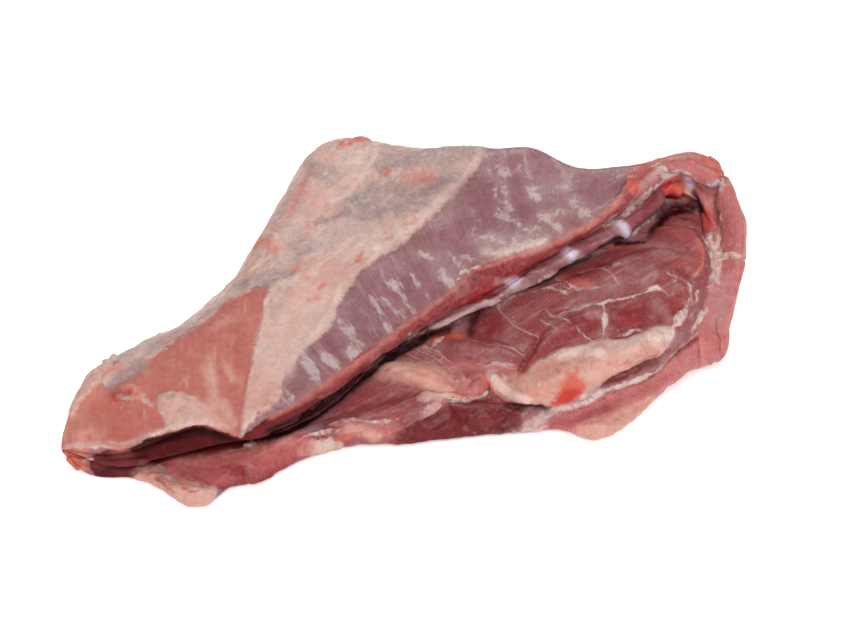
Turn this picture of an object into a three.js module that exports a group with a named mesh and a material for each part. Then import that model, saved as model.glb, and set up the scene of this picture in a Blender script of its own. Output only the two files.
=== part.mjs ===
// A raw pork flank, folded over on itself, at its real size in millimetres with +Z up.
// It is one piece of meat: a lower flap lies on the table, the sheet turns up round a fold at the back
// and right, and the upper flap comes forward over it and leaves a mouth open along the front.
import * as THREE from 'three';

// Driving dimensions
const LEFT_TIP = -146; // X of the pointed end, where the two flaps meet
const FOLD_WALL = 150; // X of the fold's outermost wall
const TIP_SLOT_DEPTH = 8; // how far the flank is hollowed under the upper flap's thin edge near the tip
const SLOT_DEPTH = 3; // the same under the thick cut edge further right
const THIN_EDGE_END = -75; // X where the thin edge starts to thicken
const THICK_EDGE_START = -40; // X where the edge has its full thickness
const MOUTH_END = 138; // X where the mouth ends against the fold's cut face
const KEEL_SAG = 0.25; // how low the underside hangs between its edges, as a share of their distance
const WAVE_HEIGHT = 1.5; // unevenness of the outer face, either way
const WAVE_LENGTH = 52; // along X
const WAVE_BREADTH = 41; // along Y
const WAVE_FADE = 18; // how far from either end the unevenness reaches its full height
const STATIONS = 72; // cross-sections from end to end
const END_CROWDING = 0.6; // 0 spaces the stations evenly, 1 crowds them most towards both ends

// Lines that run along the flank from its tip to its fold, each with the points [x, y, z] that it needs
const LINES = {
  // where the lower flap's front lies on the table
  sole: [
    [-146, -79, 7.5], [-138, -80, 2], [-128, -80, 0], [-113, -82, 0], [-88, -98, 0], [-68, -86, 0],
    [-46, -70, 0], [-13, -57, 0], [30, -52, 0], [84, -48, 0], [107, -32, 0], [124, -16, 1], [138, -4, 4],
    [144, 2, 16], [147, 6, 30], [150, 12.5, 40.5],
  ],
  // front edge of the lower flap, out round the loose tongue near the tip and the flap of fat on the right
  toe: [
    [-146, -80.5, 8], [-136, -87, 2], [-113, -91, 2], [-101, -99, 2], [-94, -106, 2], [-87, -110, 2],
    [-82, -107, 2], [-74, -96, 2], [-62, -95, 2], [-53, -85, 2], [-28, -70, 2], [-4, -69, 2], [22, -64, 2],
    [48, -60, 2], [66, -59, 2], [73, -63, 2], [80, -66, 2], [88, -62, 3], [97, -53, 4], [109, -39, 6],
    [124, -25, 8], [139, -14, 11], [143, -8, 26], [147, 0, 44], [150, 9, 45.5],
  ],
  // top of the lower flap's front face
  brow: [
    [-146, -80.5, 8.2], [-135, -85, 3.5], [-113, -89, 3.5], [-88, -105, 8], [-70, -91, 9], [-46, -79, 12],
    [-4, -65, 13], [30, -57, 17], [47, -60, 11], [82, -52, 14], [109, -37, 19], [123, -23, 25],
    [134, -3, 38], [147, 3.5, 49], [150, 10.5, 49],
  ],
  // middle of the lower flap's top, which shows as a shelf in front of the mouth
  shelf: [
    [-146, -80.3, 8.5], [-130, -82, 4], [-108, -85, 6], [-84, -86, 11], [-62, -80, 13], [-25, -63, 20],
    [17, -46, 27], [65, -24, 38], [100, -14, 45], [127, -4, 50], [137, 8, 46], [147, 6, 52.5], [150, 12, 51.5],
  ],
  // deep corner of the mouth
  notch: [
    [-146, -80, 9], [-135, -74, 6], [-110, -63, 9], [-84, -56, 15], [-46, -48, 20], [-13, -30, 29],
    [28, -2, 40], [68, 22, 49], [98, 38, 58], [118, 42, 62], [130, 34, 60], [138, 20, 54], [147, 8, 55.5],
    [150, 13, 53.5],
  ],
  // bulge of the inner layer below the upper flap's cut edge
  belly: [
    [-146, -80.5, 9.5], [-127, -87, 7.5], [-108, -89, 9.5], [-78, -86, 16], [-46, -80, 21], [-4, -46, 36],
    [30, -25, 43], [66, -6, 51], [102, 17, 63], [120, 32, 68], [137, 24, 58], [147, 9.5, 57.5],
    [150, 14, 55],
  ],
  // lower and upper lip of the upper flap's cut edge
  underLip: [
    [-146, -81, 10], [-121, -88, 13], [-84, -87, 26], [-70, -92, 23], [-51, -86, 24], [-22, -62, 34],
    [18, -32, 46], [57, -8, 56], [83, 6, 65], [102, 20, 70], [120, 33, 73], [137, 27, 66], [147, 11, 59.5],
    [150, 15, 56.5],
  ],
  upperLip: [
    [-146, -82, 12], [-121, -89, 16], [-83, -89, 30], [-70, -94, 27], [-55, -86, 34], [-11, -55, 47],
    [19, -28, 56], [39, -15, 62], [70, -2, 68], [101, 23, 78], [120, 32, 82], [133, 28, 80], [144, 22, 73],
    [147, 14, 65], [150, 17, 59],
  ],
  // ridge of the upper flap's outer face
  ridge: [
    [-146, -80, 13], [-138, -74, 22], [-125, -67, 34], [-109, -61, 40], [-58, -23, 54], [-30, 12, 60],
    [26, 24, 72], [57, 25, 77], [84, 26, 76], [110, 33, 83], [133, 31, 80], [144, 25, 73], [147, 17, 65.5],
    [150, 18.5, 60],
  ],
  // where the upper flap turns down towards the back
  shoulder: [
    [-146, -78, 13], [-140, -66, 27], [-126, -55, 36], [-100, -44, 42], [-82, -25, 47], [-67, 15, 53],
    [-60, 40, 57], [-46, 80, 61], [-31, 82, 65], [-5, 67, 71], [36, 50, 80], [54, 46, 81], [80, 36, 76],
    [94, 36, 78], [125, 37, 85], [136, 34, 80], [144, 28, 72], [147, 21, 65], [150, 20, 60],
  ],
  // outermost line of the back
  back: [
    [-146, -75, 10], [-140, -53, 13], [-126, -32, 16], [-100, -8, 18], [-82, 15, 22], [-66, 55, 24],
    [-55, 86, 26], [-38, 106, 28], [-5, 91, 32], [54, 74, 38], [94, 64, 38], [125, 60, 42], [142, 48, 46],
    [147, 36, 49], [150, 27, 51],
  ],
  // where the back lies on the table
  foot: [
    [-146, -77, 7.5], [-140, -64, 4], [-126, -44, 0], [-82, -4, 0], [-65, 34, 0], [-52, 66, 0], [-37, 84, 0],
    [-5, 70, 0], [54, 52, 0], [94, 42, 0], [122, 38, 0], [136, 32, 5], [144, 25, 19], [147, 22, 32],
    [150, 20.5, 43],
  ],
};

// Rolls of muscle and fat that stand out of the faces they lie on, and a groove that is sunk in them:
// a path of points [x, y, z], a half width and a height
const ROLLS = [
  {
    name: 'inner muscle', on: ['shelf'], path: [[26, -37, 32], [70, -22, 41], [100, -10, 47], [122, 0, 51]],
    halfWidth: 21, height: 6,
  },
  {
    name: 'fat roll', on: ['shelf'], path: [[35, -47, 14], [58, -48, 19], [89, -36, 26], [120, -20, 34]],
    halfWidth: 11, height: 7,
  },
  {
    name: 'fat frill', on: ['shelf'], path: [[-60, -84, 11], [-8, -65, 16], [35, -50, 22]],
    halfWidth: 6, height: 4,
  },
  {
    name: 'fat strip', on: ['shelf'], path: [[-15, -46, 29], [-2, -48, 26], [21, -54, 20]],
    halfWidth: 6, height: 3,
  },
  { name: 'red knob', on: ['edge', 'roof'], path: [[96, 17, 74], [106, 22, 78]], halfWidth: 9, height: 4 },
  { name: 'end knob', on: ['edge', 'roof'], path: [[117, 30, 78], [127, 29, 78]], halfWidth: 9, height: 4 },
  {
    name: 'groove inside the fold', on: ['belly', 'shelf', 'front'], halfWidth: 5, height: -3,
    path: [[47, -61, 10], [82, -52, 14], [109, -37, 19], [130, -15, 30], [135, 0, 40]],
  },
  { name: 'scrap', on: ['roof'], path: [[-38, 84, 64], [-20, 77, 68]], halfWidth: 9, height: 3 },
];

// The faces round a cross-section, in order, each with its corners and the number of steps between them
const FACES = {
  rim: { corners: ['toe', 'sole'], divisions: 2 },
  bottom: { corners: ['sole', 'keel', 'foot'], divisions: 4 },
  roof: { corners: ['foot', 'back', 'shoulder', 'ridge', 'upperLip'], divisions: 7 },
  edge: { corners: ['upperLip', 'underLip'], divisions: 3 },
  belly: { corners: ['underLip', 'slot', 'belly', 'notch'], divisions: 3 },
  shelf: { corners: ['notch', 'shelf', 'brow'], divisions: 9 },
  front: { corners: ['brow', 'toe'], divisions: 4 },
};

function lineAlong(points) {
  const xs = points.map(([x]) => x);
  const across = points.flatMap(([, y, z]) => [y, z]);
  const interpolant = new THREE.CubicInterpolant(xs, across, 2, new Float64Array(2));
  return (x) => {
    const [y, z] = interpolant.evaluate(x);
    return new THREE.Vector3(x, y, z);
  };
}

const lines = Object.fromEntries(Object.entries(LINES).map(([name, points]) => [name, lineAlong(points)]));

// The middle of the underside, which hangs lower than its two edges where they are off the table
function keelBetween(sole, foot) {
  const keel = sole.clone().lerp(foot, 0.5);
  keel.z = Math.max(0, keel.z - KEEL_SAG * sole.distanceTo(foot));
  return keel;
}

// The hollow under the upper flap's edge, a third of the way down to the inner layer
function slotUnder(lip, belly) {
  const thickness = THREE.MathUtils.smoothstep(lip.x, THIN_EDGE_END, THICK_EDGE_START);
  const depth = THREE.MathUtils.lerp(TIP_SLOT_DEPTH, SLOT_DEPTH, thickness);
  const foldThickness = FOLD_WALL - MOUTH_END;
  const openness = THREE.MathUtils.smoothstep(FOLD_WALL - lip.x, foldThickness, 2 * foldThickness);
  const slot = lip.clone().lerp(belly, 1 / 3);
  slot.y += openness * Math.min(depth, 0.8 * lip.distanceTo(belly));
  return slot;
}

// The closed outline of the flank at one station, from the lower flap's front edge under it and over it
function section(x) {
  const at = Object.fromEntries(Object.entries(lines).map(([name, line]) => [name, line(x)]));
  at.keel = keelBetween(at.sole, at.foot);
  at.slot = slotUnder(at.underLip, at.belly);
  return Object.values(FACES).flatMap(({ corners, divisions }) => {
    const curve = new THREE.CatmullRomCurve3(corners.map((name) => at[name]), false, 'centripetal');
    return curve.getPoints(divisions * (corners.length - 1)).slice(0, -1);
  });
}

// The face that each point of a cross-section lies on
const faceOf = Object.entries(FACES).flatMap(([name, { corners, divisions }]) => {
  return Array(divisions * (corners.length - 1)).fill(name);
});

function stationX(i) {
  const even = i / (STATIONS - 1);
  const crowded = (1 - Math.cos(Math.PI * even)) / 2;
  return THREE.MathUtils.lerp(LEFT_TIP, FOLD_WALL, THREE.MathUtils.lerp(even, crowded, END_CROWDING));
}

// A closed skin over a row of outlines with the same number of points, with a fan over each end.
// Each four-sided patch is split along its shorter diagonal.
function skin(outlines) {
  const count = outlines[0].length;
  const points = outlines.flat();
  const index = [];
  for (let i = 0; i + 1 < outlines.length; i++) {
    for (let j = 0; j < count; j++) {
      const a = i * count + j;
      const b = i * count + ((j + 1) % count);
      const c = a + count;
      const d = b + count;
      const split = points[a].distanceTo(points[d]) < points[b].distanceTo(points[c]);
      index.push(...(split ? [a, b, d, a, d, c] : [a, b, c, b, d, c]));
    }
  }
  for (const end of [0, outlines.length - 1]) {
    const hub = points.length;
    points.push(centreOf(outlines[end]));
    for (let j = 0; j < count; j++) {
      const a = end * count + j;
      const b = end * count + ((j + 1) % count);
      index.push(...(end === 0 ? [b, a, hub] : [a, b, hub]));
    }
  }
  const geometry = new THREE.BufferGeometry().setFromPoints(points);
  geometry.setIndex(index);
  return geometry;
}

function centreOf(points) {
  return points.reduce((sum, p) => sum.add(p), new THREE.Vector3()).divideScalar(points.length);
}

// How far a roll lifts a point: round across its path, and thinning out towards both ends of it.
function liftOf(roll, point) {
  const steps = 40;
  const trail = roll.curve.getSpacedPoints(steps);
  const distances = trail.map((q) => q.distanceTo(point));
  const nearest = Math.min(...distances);
  if (nearest >= roll.halfWidth) return 0;
  const along = (distances.indexOf(nearest) + 0.5) / (steps + 1);
  const round = Math.sqrt(1 - (nearest / roll.halfWidth) ** 2);
  return roll.height * round * Math.sqrt(Math.sin(Math.PI * along));
}

// The gentle unevenness of the outer face at a point
function waveAt(point) {
  const alongX = Math.sin((2 * Math.PI * point.x) / WAVE_LENGTH + point.y / WAVE_BREADTH);
  const alongY = Math.cos((2 * Math.PI * point.y) / WAVE_BREADTH - point.x / WAVE_LENGTH);
  const fromEnd = Math.min(point.x - LEFT_TIP, FOLD_WALL - point.x);
  return WAVE_HEIGHT * alongX * alongY * THREE.MathUtils.smoothstep(fromEnd, 0, WAVE_FADE);
}

// Moves the skin along its own normals: the rolls stand out of their faces, and the outer face is uneven.
function modelled(geometry) {
  geometry.computeVertexNormals();
  const position = geometry.getAttribute('position');
  const normal = geometry.getAttribute('normal');
  const rolls = ROLLS.map((roll) => {
    return { ...roll, curve: new THREE.CatmullRomCurve3(roll.path.map((p) => new THREE.Vector3(...p))) };
  });
  for (let i = 0; i < STATIONS * faceOf.length; i++) {
    const face = faceOf[i % faceOf.length];
    const point = new THREE.Vector3().fromBufferAttribute(position, i);
    const outward = new THREE.Vector3().fromBufferAttribute(normal, i);
    const lifts = rolls.filter((roll) => roll.on.includes(face)).map((roll) => liftOf(roll, point));
    const wave = face === 'roof' && point.z > 0 ? waveAt(point) : 0;
    point.addScaledVector(outward, Math.max(0, ...lifts) + Math.min(0, ...lifts) + wave);
    position.setXYZ(i, point.x, point.y, Math.max(point.z, 0));
  }
  return geometry;
}

// Puts the origin under the middle of the flank, on the table.
function stood(geometry) {
  geometry.computeBoundingBox();
  const { min, max } = geometry.boundingBox;
  return geometry.translate(-(min.x + max.x) / 2, -(min.y + max.y) / 2, -min.z);
}

const outlines = Array.from({ length: STATIONS }, (_, i) => section(stationX(i)));
const meat = new THREE.MeshStandardMaterial({ color: 0xa8605c, roughness: 0.45, metalness: 0 });
const flank = new THREE.Mesh(stood(modelled(skin(outlines))), meat);
flank.name = 'pork_flank';

const part = new THREE.Group();
part.add(flank);
export default part;
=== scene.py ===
"""Looks of a raw pork flank, folded over on itself: its tissues, their finish, and a plain stage."""

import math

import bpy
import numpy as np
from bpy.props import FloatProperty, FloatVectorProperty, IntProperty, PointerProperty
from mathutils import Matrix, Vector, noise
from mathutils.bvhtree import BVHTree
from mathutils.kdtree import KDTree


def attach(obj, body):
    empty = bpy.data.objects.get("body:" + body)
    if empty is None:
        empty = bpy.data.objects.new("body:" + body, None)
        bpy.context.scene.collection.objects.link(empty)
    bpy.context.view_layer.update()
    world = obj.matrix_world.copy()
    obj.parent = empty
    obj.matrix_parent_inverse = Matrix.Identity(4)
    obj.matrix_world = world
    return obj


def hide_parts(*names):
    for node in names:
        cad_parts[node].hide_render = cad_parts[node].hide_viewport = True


bl_info = {
    "name": "Raw pork flank",
    "version": (1, 0, 0),
    "blender": (4, 5, 0),
    "location": "View3D > Sidebar > Pork flank",
    "description": "Dresses the folded flank with its fat, lean and membranes, on a plain stage",
    "category": "Add Mesh",
}

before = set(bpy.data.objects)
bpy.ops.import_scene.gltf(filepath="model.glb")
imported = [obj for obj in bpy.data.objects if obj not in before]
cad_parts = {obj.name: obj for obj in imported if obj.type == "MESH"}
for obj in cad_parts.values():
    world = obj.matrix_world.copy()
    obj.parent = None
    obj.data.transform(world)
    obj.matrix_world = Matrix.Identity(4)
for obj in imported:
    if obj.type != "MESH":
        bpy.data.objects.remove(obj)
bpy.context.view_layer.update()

NODE = "pork_flank"
MM = 0.001

# The picture that the outlines below are drawn on: its size, and what a pixel covers on the flank
PICTURE_WIDTH = 857
PICTURE_HEIGHT = 643
PIXEL_MM = 0.44

# How far from its outline, in millimetres, a tissue is still measured
REACH = 12.0

# How far, in pixels, the drawn outlines are shaken, and the size of the shakes on the flank
SHAKES = ((1.3, 2.2 * MM), (1.6, 8.0 * MM))
# Seed of the shakes, so that they are the same in every run
SHAKE_SEED = 5

# Lines in picture pixels that two of the lists below share
SHEET_SEAM = ((238, 440), (243, 425), (247, 395), (253, 360), (262, 325), (265, 300))
SHEET_RIM = (
    (272, 284), (255, 288), (238, 297), (218, 306), (202, 318), (190, 332), (170, 345), (155, 355),
    (140, 367), (122, 378), (108, 388), (98, 382), (88, 392), (78, 405),
)
TUBE_LOWER_RIM = ((685, 203), (670, 201), (661, 205), (659, 211), (646, 221), (632, 234), (622, 242))

# Outlines of the tissues in picture pixels, each drawn a little past the flank's own outline
FAT = {
    "cap": (
        (500, 120), (485, 150), (478, 168), (470, 180), (455, 195), (440, 210), (425, 222), (410, 240),
        (390, 252), (375, 262), (360, 272), (352, 285), (342, 297), (336, 310), (330, 325), (325, 335),
        (312, 345), (300, 350), (297, 362), (285, 370), (282, 385), (280, 400), (272, 407), (262, 415),
        (250, 422), (243, 436), *SHEET_SEAM, *SHEET_RIM, (72, 420), (40, 420), (60, 340), (150, 290),
        (230, 220), (280, 110),
    ),
    "patch": (
        (157, 393), (175, 393), (190, 396), (200, 402), (206, 408), (212, 412), (222, 418), (212, 424),
        (200, 424), (180, 427), (165, 432), (163, 418), (158, 405),
    ),
    "spot rim": (
        (113, 392), (120, 386), (130, 384), (140, 388), (148, 398), (154, 412), (147, 404), (138, 397),
        (128, 400), (120, 400), (112, 398),
    ),
    "tongue": (
        (141, 472), (146, 468), (152, 473), (160, 473), (170, 476), (178, 482), (186, 484), (190, 481),
        (197, 484), (204, 489), (210, 486), (218, 487), (216, 500), (210, 516), (190, 517), (168, 505),
        (148, 490), (132, 478),
    ),
    "strip": (
        (373, 366), (385, 360), (404, 362), (430, 364), (446, 370), (454, 380), (460, 391), (451, 396),
        (431, 391), (414, 385), (397, 379), (383, 373),
    ),
    "frill": (
        (414, 398), (418, 393), (432, 390), (444, 394), (452, 388), (464, 396), (454, 398), (436, 399),
        (424, 402),
    ),
    "roll": (
        (485, 372), (495, 375), (505, 383), (515, 382), (525, 374), (535, 364), (550, 356), (565, 350),
        (590, 343), (605, 338), (625, 340), (640, 335), (650, 328), (665, 325), (675, 328), (672, 340),
        (665, 350), (660, 357), (645, 360), (625, 367), (610, 373), (605, 382), (600, 388), (590, 397),
        (575, 404), (560, 406), (540, 407), (525, 402), (512, 402), (503, 397), (495, 388), (487, 380),
    ),
    "flap": (
        (577, 430), (585, 424), (600, 424), (620, 420), (640, 408), (655, 402), (668, 392), (675, 402),
        (655, 420), (635, 432), (615, 450), (590, 452), (570, 442),
    ),
    "lower edge": (
        (296, 446), (310, 440), (330, 438), (345, 442), (340, 452), (315, 456), (298, 456),
    ),
}
SALMON = {
    "sheet": (
        *SHEET_RIM, (68, 418), (40, 430), (40, 456), (65, 452), (85, 448), (105, 448), (118, 451),
        (128, 450), (135, 446), (140, 440), (150, 437), (165, 434), (180, 428), (195, 425), (206, 424),
        (215, 428), (228, 434), *SHEET_SEAM,
    ),
    "curl": (
        (55, 452), (80, 449), (92, 452), (84, 460), (87, 466), (82, 480), (70, 476), (58, 462),
    ),
}
BELLY = {
    "hollow": (
        (90, 456), (88, 470), (105, 484), (135, 488), (146, 478), (141, 472), (150, 470), (157, 463),
        (180, 461), (205, 458), (225, 452), (245, 446), (262, 444), (280, 437), (300, 428), (318, 412),
        (330, 400), (320, 396), (300, 402), (280, 412), (262, 420), (245, 434), (238, 440), (228, 434),
        (206, 425), (180, 428), (150, 437), (135, 446), (118, 451), (105, 449),
    ),
}
CUT = {
    "lip": (
        (254, 424), (300, 403), (320, 387), (340, 371), (363, 351), (384, 339), (405, 324), (417, 313),
        (440, 302), (455, 286), (470, 268), (490, 261), (510, 256), (530, 252), (545, 246), (560, 240),
        (580, 228), (600, 215), (620, 195), (628, 185), (630, 175), (640, 165), (655, 163), (660, 172),
        (650, 182), (640, 192), (628, 202), (615, 216), (600, 226), (575, 241), (550, 253), (520, 273),
        (505, 286), (490, 297), (470, 304), (455, 309), (440, 317), (420, 329), (400, 341), (380, 356),
        (360, 371), (340, 383), (320, 394), (300, 412),
    ),
    "tongue": (
        (157, 464), (168, 468), (176, 480), (195, 483), (205, 488), (217, 488), (232, 496), (258, 496),
        (270, 482), (280, 474), (300, 462), (330, 456), (340, 430), (305, 432), (280, 439), (250, 447),
        (222, 453), (180, 460),
    ),
}
FOLD = {
    "face": (
        (640, 165), (655, 140), (710, 140), (735, 165), (765, 200), (770, 260), (750, 370), (705, 375),
        (690, 382), (678, 390), (660, 398), (645, 404), (625, 412), (600, 422), (575, 434), (535, 445),
        (520, 434), (545, 416), (560, 411), (590, 401), (620, 389), (650, 376), (661, 368), (672, 356),
        (692, 341), (702, 320), (708, 300), (713, 270), (712, 240), (706, 205), (694, 185), (680, 172),
        (660, 166),
    ),
}
INNER = {
    "muscle": (
        (470, 332), (482, 318), (505, 300), (545, 280), (590, 260), (625, 240), (650, 222), (690, 205),
        (706, 225), (712, 262), (706, 300), (700, 318), (690, 338), (672, 330), (650, 328), (625, 340),
        (590, 343), (565, 350), (535, 364), (520, 378), (500, 372), (470, 366), (440, 355), (428, 345),
        (445, 336),
    ),
    "under the roll": (
        (603, 386), (625, 371), (650, 362), (663, 357), (672, 345), (684, 338), (672, 356), (658, 366),
        (640, 374), (620, 382),
    ),
    "front": (
        (408, 434), (430, 415), (450, 402), (480, 402), (500, 398), (540, 405), (560, 408), (530, 424),
        (515, 440), (480, 450), (400, 456),
    ),
    "mouth floor": (
        (318, 426), (340, 408), (362, 380), (382, 360), (402, 350), (428, 338), (450, 330), (472, 334),
        (480, 350), (500, 372), (520, 380), (545, 404), (560, 408), (545, 416), (528, 430), (515, 446),
        (480, 454), (400, 462), (345, 466), (330, 456), (332, 436),
    ),
}
DEEP = {
    "right bundle": (
        (606, 310), (625, 303), (645, 300), (668, 296), (686, 304), (684, 318), (668, 325), (650, 326),
        (636, 335), (614, 338), (606, 328),
    ),
    "left bundle": (
        (530, 346), (560, 326), (600, 316), (602, 334), (580, 344), (550, 354), (535, 364), (522, 378),
        (520, 366),
    ),
    "front": (
        (412, 432), (430, 415), (450, 403), (480, 403), (500, 402), (500, 420), (480, 430), (455, 440),
        (440, 450), (410, 450),
    ),
    "lip corner": ((430, 332), (444, 330), (452, 338), (440, 342), (430, 346)),
    "upper right": ((560, 278), (590, 268), (615, 262), (600, 276), (575, 284)),
    "tongue spot": ((222, 470), (232, 468), (233, 480), (224, 481)),
    "tongue crease": ((241, 469), (247, 469), (248, 484), (242, 484)),
}
SHADE = {
    "gap": (
        (262, 428), (300, 416), (330, 395), (360, 374), (385, 357), (400, 346), (430, 331), (424, 342),
        (400, 352), (380, 362), (360, 381), (340, 402), (320, 414), (305, 427), (270, 440),
    ),
}
# White membranes that cover what lies under them, each a line with its breadth in pixels
STRANDS = {
    "sheet edge": (2, ((62, 449), (85, 446), (108, 447), (126, 448), (136, 443), (150, 435), (180, 426))),
    "under the lip": (7, (
        (386, 352), (403, 342), (422, 331), (444, 319), (470, 311), (488, 306), (498, 303),
    )),
    "under the lip middle": (11, ((424, 330), (446, 320), (462, 314), (480, 307), (500, 299))),
    "tube rim": (4, ((490, 305), (510, 297), (522, 290), (536, 282), (548, 274), (557, 269))),
    "tube rim right": (3, ((577, 259), (590, 255), (604, 250), (614, 245))),
    "lip rim": (4, ((667, 180), (651, 189), (644, 196), (638, 203), (627, 214), (617, 224))),
    "tube lower rim": (4, TUBE_LOWER_RIM),
    "silverskin": (9, ((709, 236), (713, 246), (716, 258), (717, 270), (718, 284))),
    "silverskin tip": (5, ((724, 214), (722, 226), (719, 240), (717, 252))),
    "silverskin wide": (10, ((713, 250), (717, 260), (719, 271))),
    "silverskin spike": (4, ((725, 243), (722, 252), (718, 260))),
    "silverskin branch": (6, ((716, 258), (727, 256), (735, 256), (744, 261))),
    "fold fleck": (3, ((713, 281), (710, 287), (708, 292))),
    "fold fleck left": (2.5, ((697, 290), (697, 300))),
    "fold fork": (4, ((709, 307), (702, 315), (697, 322), (691, 332))),
    "lower arm": (8, ((524, 424), (550, 413), (568, 408), (585, 400), (602, 392), (616, 387))),
    "lower arm thin": (5, ((596, 395), (616, 387), (629, 383), (642, 378), (656, 371))),
    "arm line": (2.5, ((650, 374), (664, 366), (672, 356), (684, 345), (698, 333))),
    "arm end": (7, ((522, 432), (534, 424), (548, 416))),
    "arm end low": (4, ((530, 434), (540, 428), (550, 424))),
    "fold rim": (4, ((664, 172), (676, 170), (690, 174), (703, 182), (716, 185))),
    "upper white": (9, ((652, 166), (660, 171), (668, 176), (674, 174))),
    "shelf strand": (7, ((442, 399), (436, 404), (428, 412), (419, 420))),
    "strand line": (2, ((430, 402), (419, 419), (405, 427), (390, 431), (378, 438))),
    "shelf line": (2.5, ((330, 424), (342, 421), (356, 419), (370, 421), (384, 423), (398, 419))),
    "tongue strand": (3, ((340, 428), (330, 430), (310, 434), (298, 440))),
    "frill edge": (2.5, ((446, 399), (460, 399), (474, 398), (484, 395), (488, 390))),
    "frill patch": (6, ((448, 402), (456, 405), (462, 403), (470, 401))),
    "frill tab": (3, ((461, 372), (464, 379), (465, 386))),
    "frill tab left": (2.5, ((454, 376), (457, 382), (458, 388))),
    "flap edge": (2.5, ((486, 365), (496, 363), (506, 366), (515, 366))),
    "flap edge low": (2, ((502, 372), (506, 380), (512, 386))),
    "flap spot": (6, ((432, 347), (436, 341), (442, 338))),
    "roll veil": (9, ((673, 327), (680, 317), (686, 309))),
    "roll veil tip": (3, ((685, 310), (690, 300))),
    "inner rim": (3, ((703, 236), (709, 248), (712, 262), (711, 276), (707, 290))),
    "long line": (3, ((598, 303), (612, 301), (626, 299), (640, 296))),
    "long line end": (5, ((648, 290), (654, 287), (660, 290))),
    "cross knob": (5, ((602, 314), (606, 321), (604, 328))),
    "upper bit": (3, ((556, 290), (562, 292), (568, 294))),
    "lip fringe left": (4, ((456, 280), (463, 272), (472, 268), (482, 266))),
    "roll root": (3, ((603, 312), (607, 320), (605, 328), (602, 338))),
    "roll bits": (1.6, ((614, 337), (624, 335), (634, 330), (642, 331))),
    "recess strand": (2.5, ((506, 420), (510, 428), (518, 434))),
    "recess strand right": (2.0, ((516, 414), (524, 416), (532, 410))),
    "lobe white": (5, ((704, 182), (712, 184), (720, 182), (726, 184))),
    "lobe white low": (4, ((716, 198), (720, 204), (718, 212))),
    "tube rim top": (3, ((598, 224), (606, 226), (616, 225), (622, 222))),
    "tongue speck": (4, ((246, 445), (255, 444))),
    # Painted glint on the curl, in the membranes' colour
    "hollow glint": (2.5, ((83, 461), (93, 459))),
}
# Thin white lines in the lean
VEINS = {
    "left fork": ((499, 309), (503, 315), (511, 323), (518, 327), (531, 333), (540, 337), (535, 345)),
    "long line": (
        (547, 310), (551, 316), (558, 315), (569, 310), (586, 305), (605, 302), (623, 299), (638, 297),
        (648, 291), (654, 287), (662, 289), (668, 293),
    ),
    "upper line": ((532, 293), (545, 290), (556, 291), (562, 293), (568, 292), (590, 288), (604, 286)),
    "top line": ((580, 272), (594, 270), (605, 271), (613, 277), (619, 283)),
    "short line": ((549, 313), (557, 316), (564, 319), (568, 322)),
    "short line left": ((543, 321), (548, 324), (554, 328)),
    "cross line": ((603, 303), (603, 313), (608, 320), (608, 325), (603, 328), (604, 333), (607, 337)),
    "right bit": ((667, 273), (671, 275), (676, 277)),
    "orange line": ((555, 279), (566, 284), (580, 290)),
    "right line": ((675, 281), (681, 279), (687, 281), (691, 288), (692, 299)),
    "flap line": ((470, 341), (488, 344), (500, 346), (511, 348), (520, 353), (526, 359)),
    "flap lower line": ((478, 363), (490, 365), (502, 366), (512, 369)),
    "bundle line": ((577, 330), (583, 336), (590, 339)),
    "sheet line": ((210, 362), (214, 380), (214, 400), (212, 422)),
    "fan a": ((405, 353), (424, 361), (444, 372)),
    "fan b": ((414, 348), (432, 356), (448, 367)),
    "fan c": ((424, 346), (438, 352), (450, 362)),
}
# White film on the lean, in streaks along its fibres, each a line with its breadth in pixels
FILM = {
    "a top": (3.5, ((381, 268), (385, 276), (389, 282))),
    "a": (10, ((389, 281), (395, 287), (401, 292))),
    "a low": (5, ((400, 292), (405, 300), (409, 308), (415, 316))),
    "a left": (8, ((380, 298), (386, 302), (393, 306))),
    "a left low": (6, ((394, 307), (400, 314), (406, 322))),
    "b": (7, ((368, 293), (372, 299), (376, 306))),
    "b low": (6, ((376, 307), (381, 316), (385, 322))),
    "b end": (8, ((383, 321), (387, 327), (392, 332))),
    "c": (3.5, ((361, 307), (365, 313), (369, 320))),
    "c low": (3.5, ((369, 326), (374, 333), (378, 339))),
    "d": (10, ((342, 327), (348, 330), (356, 333))),
    "d low": (5, ((349, 336), (356, 341), (363, 346))),
    "d top": (5, ((337, 319), (341, 322), (344, 326))),
    "e": (4, ((397, 275), (400, 282), (404, 288))),
    "f": (5, ((413, 281), (419, 286), (425, 291))),
    "f low": (3.5, ((425, 291), (428, 296), (432, 300))),
    "f top": (4, ((409, 275), (414, 279))),
    "g": (10, ((440, 277), (447, 281), (455, 288))),
    "low a": (13, ((303, 353), (308, 363), (314, 374), (318, 383))),
    "low b": (12, ((321, 352), (330, 360), (340, 370))),
    "low c": (11, ((345, 353), (353, 352), (361, 356))),
    "low d": (6, ((284, 385), (288, 393), (293, 402))),
    "low d left": (6, ((281, 398), (285, 404))),
    "tip": (4, ((70, 404), (66, 420), (65, 440))),
    "tip middle": (4, ((105, 424), (108, 442))),
    "sheet a": (2, ((117, 412), (119, 426))),
    "sheet b": (2, ((144, 410), (145, 441))),
    "sheet c": (4, ((186, 375), (187, 394))),
    "sheet d": (8, ((207, 362), (213, 380), (214, 404), (212, 426))),
    "sheet d top": (3.5, ((213, 340), (215, 352), (216, 366))),
    "sheet e": (6, ((226, 368), (230, 377), (238, 379))),
    "sheet g": (3, ((247, 298), (245, 325))),
    "sheet h": (3, ((122, 404), (122, 426))),
    "sheet f": (6, ((218, 402), (228, 412), (232, 424))),
}
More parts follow.
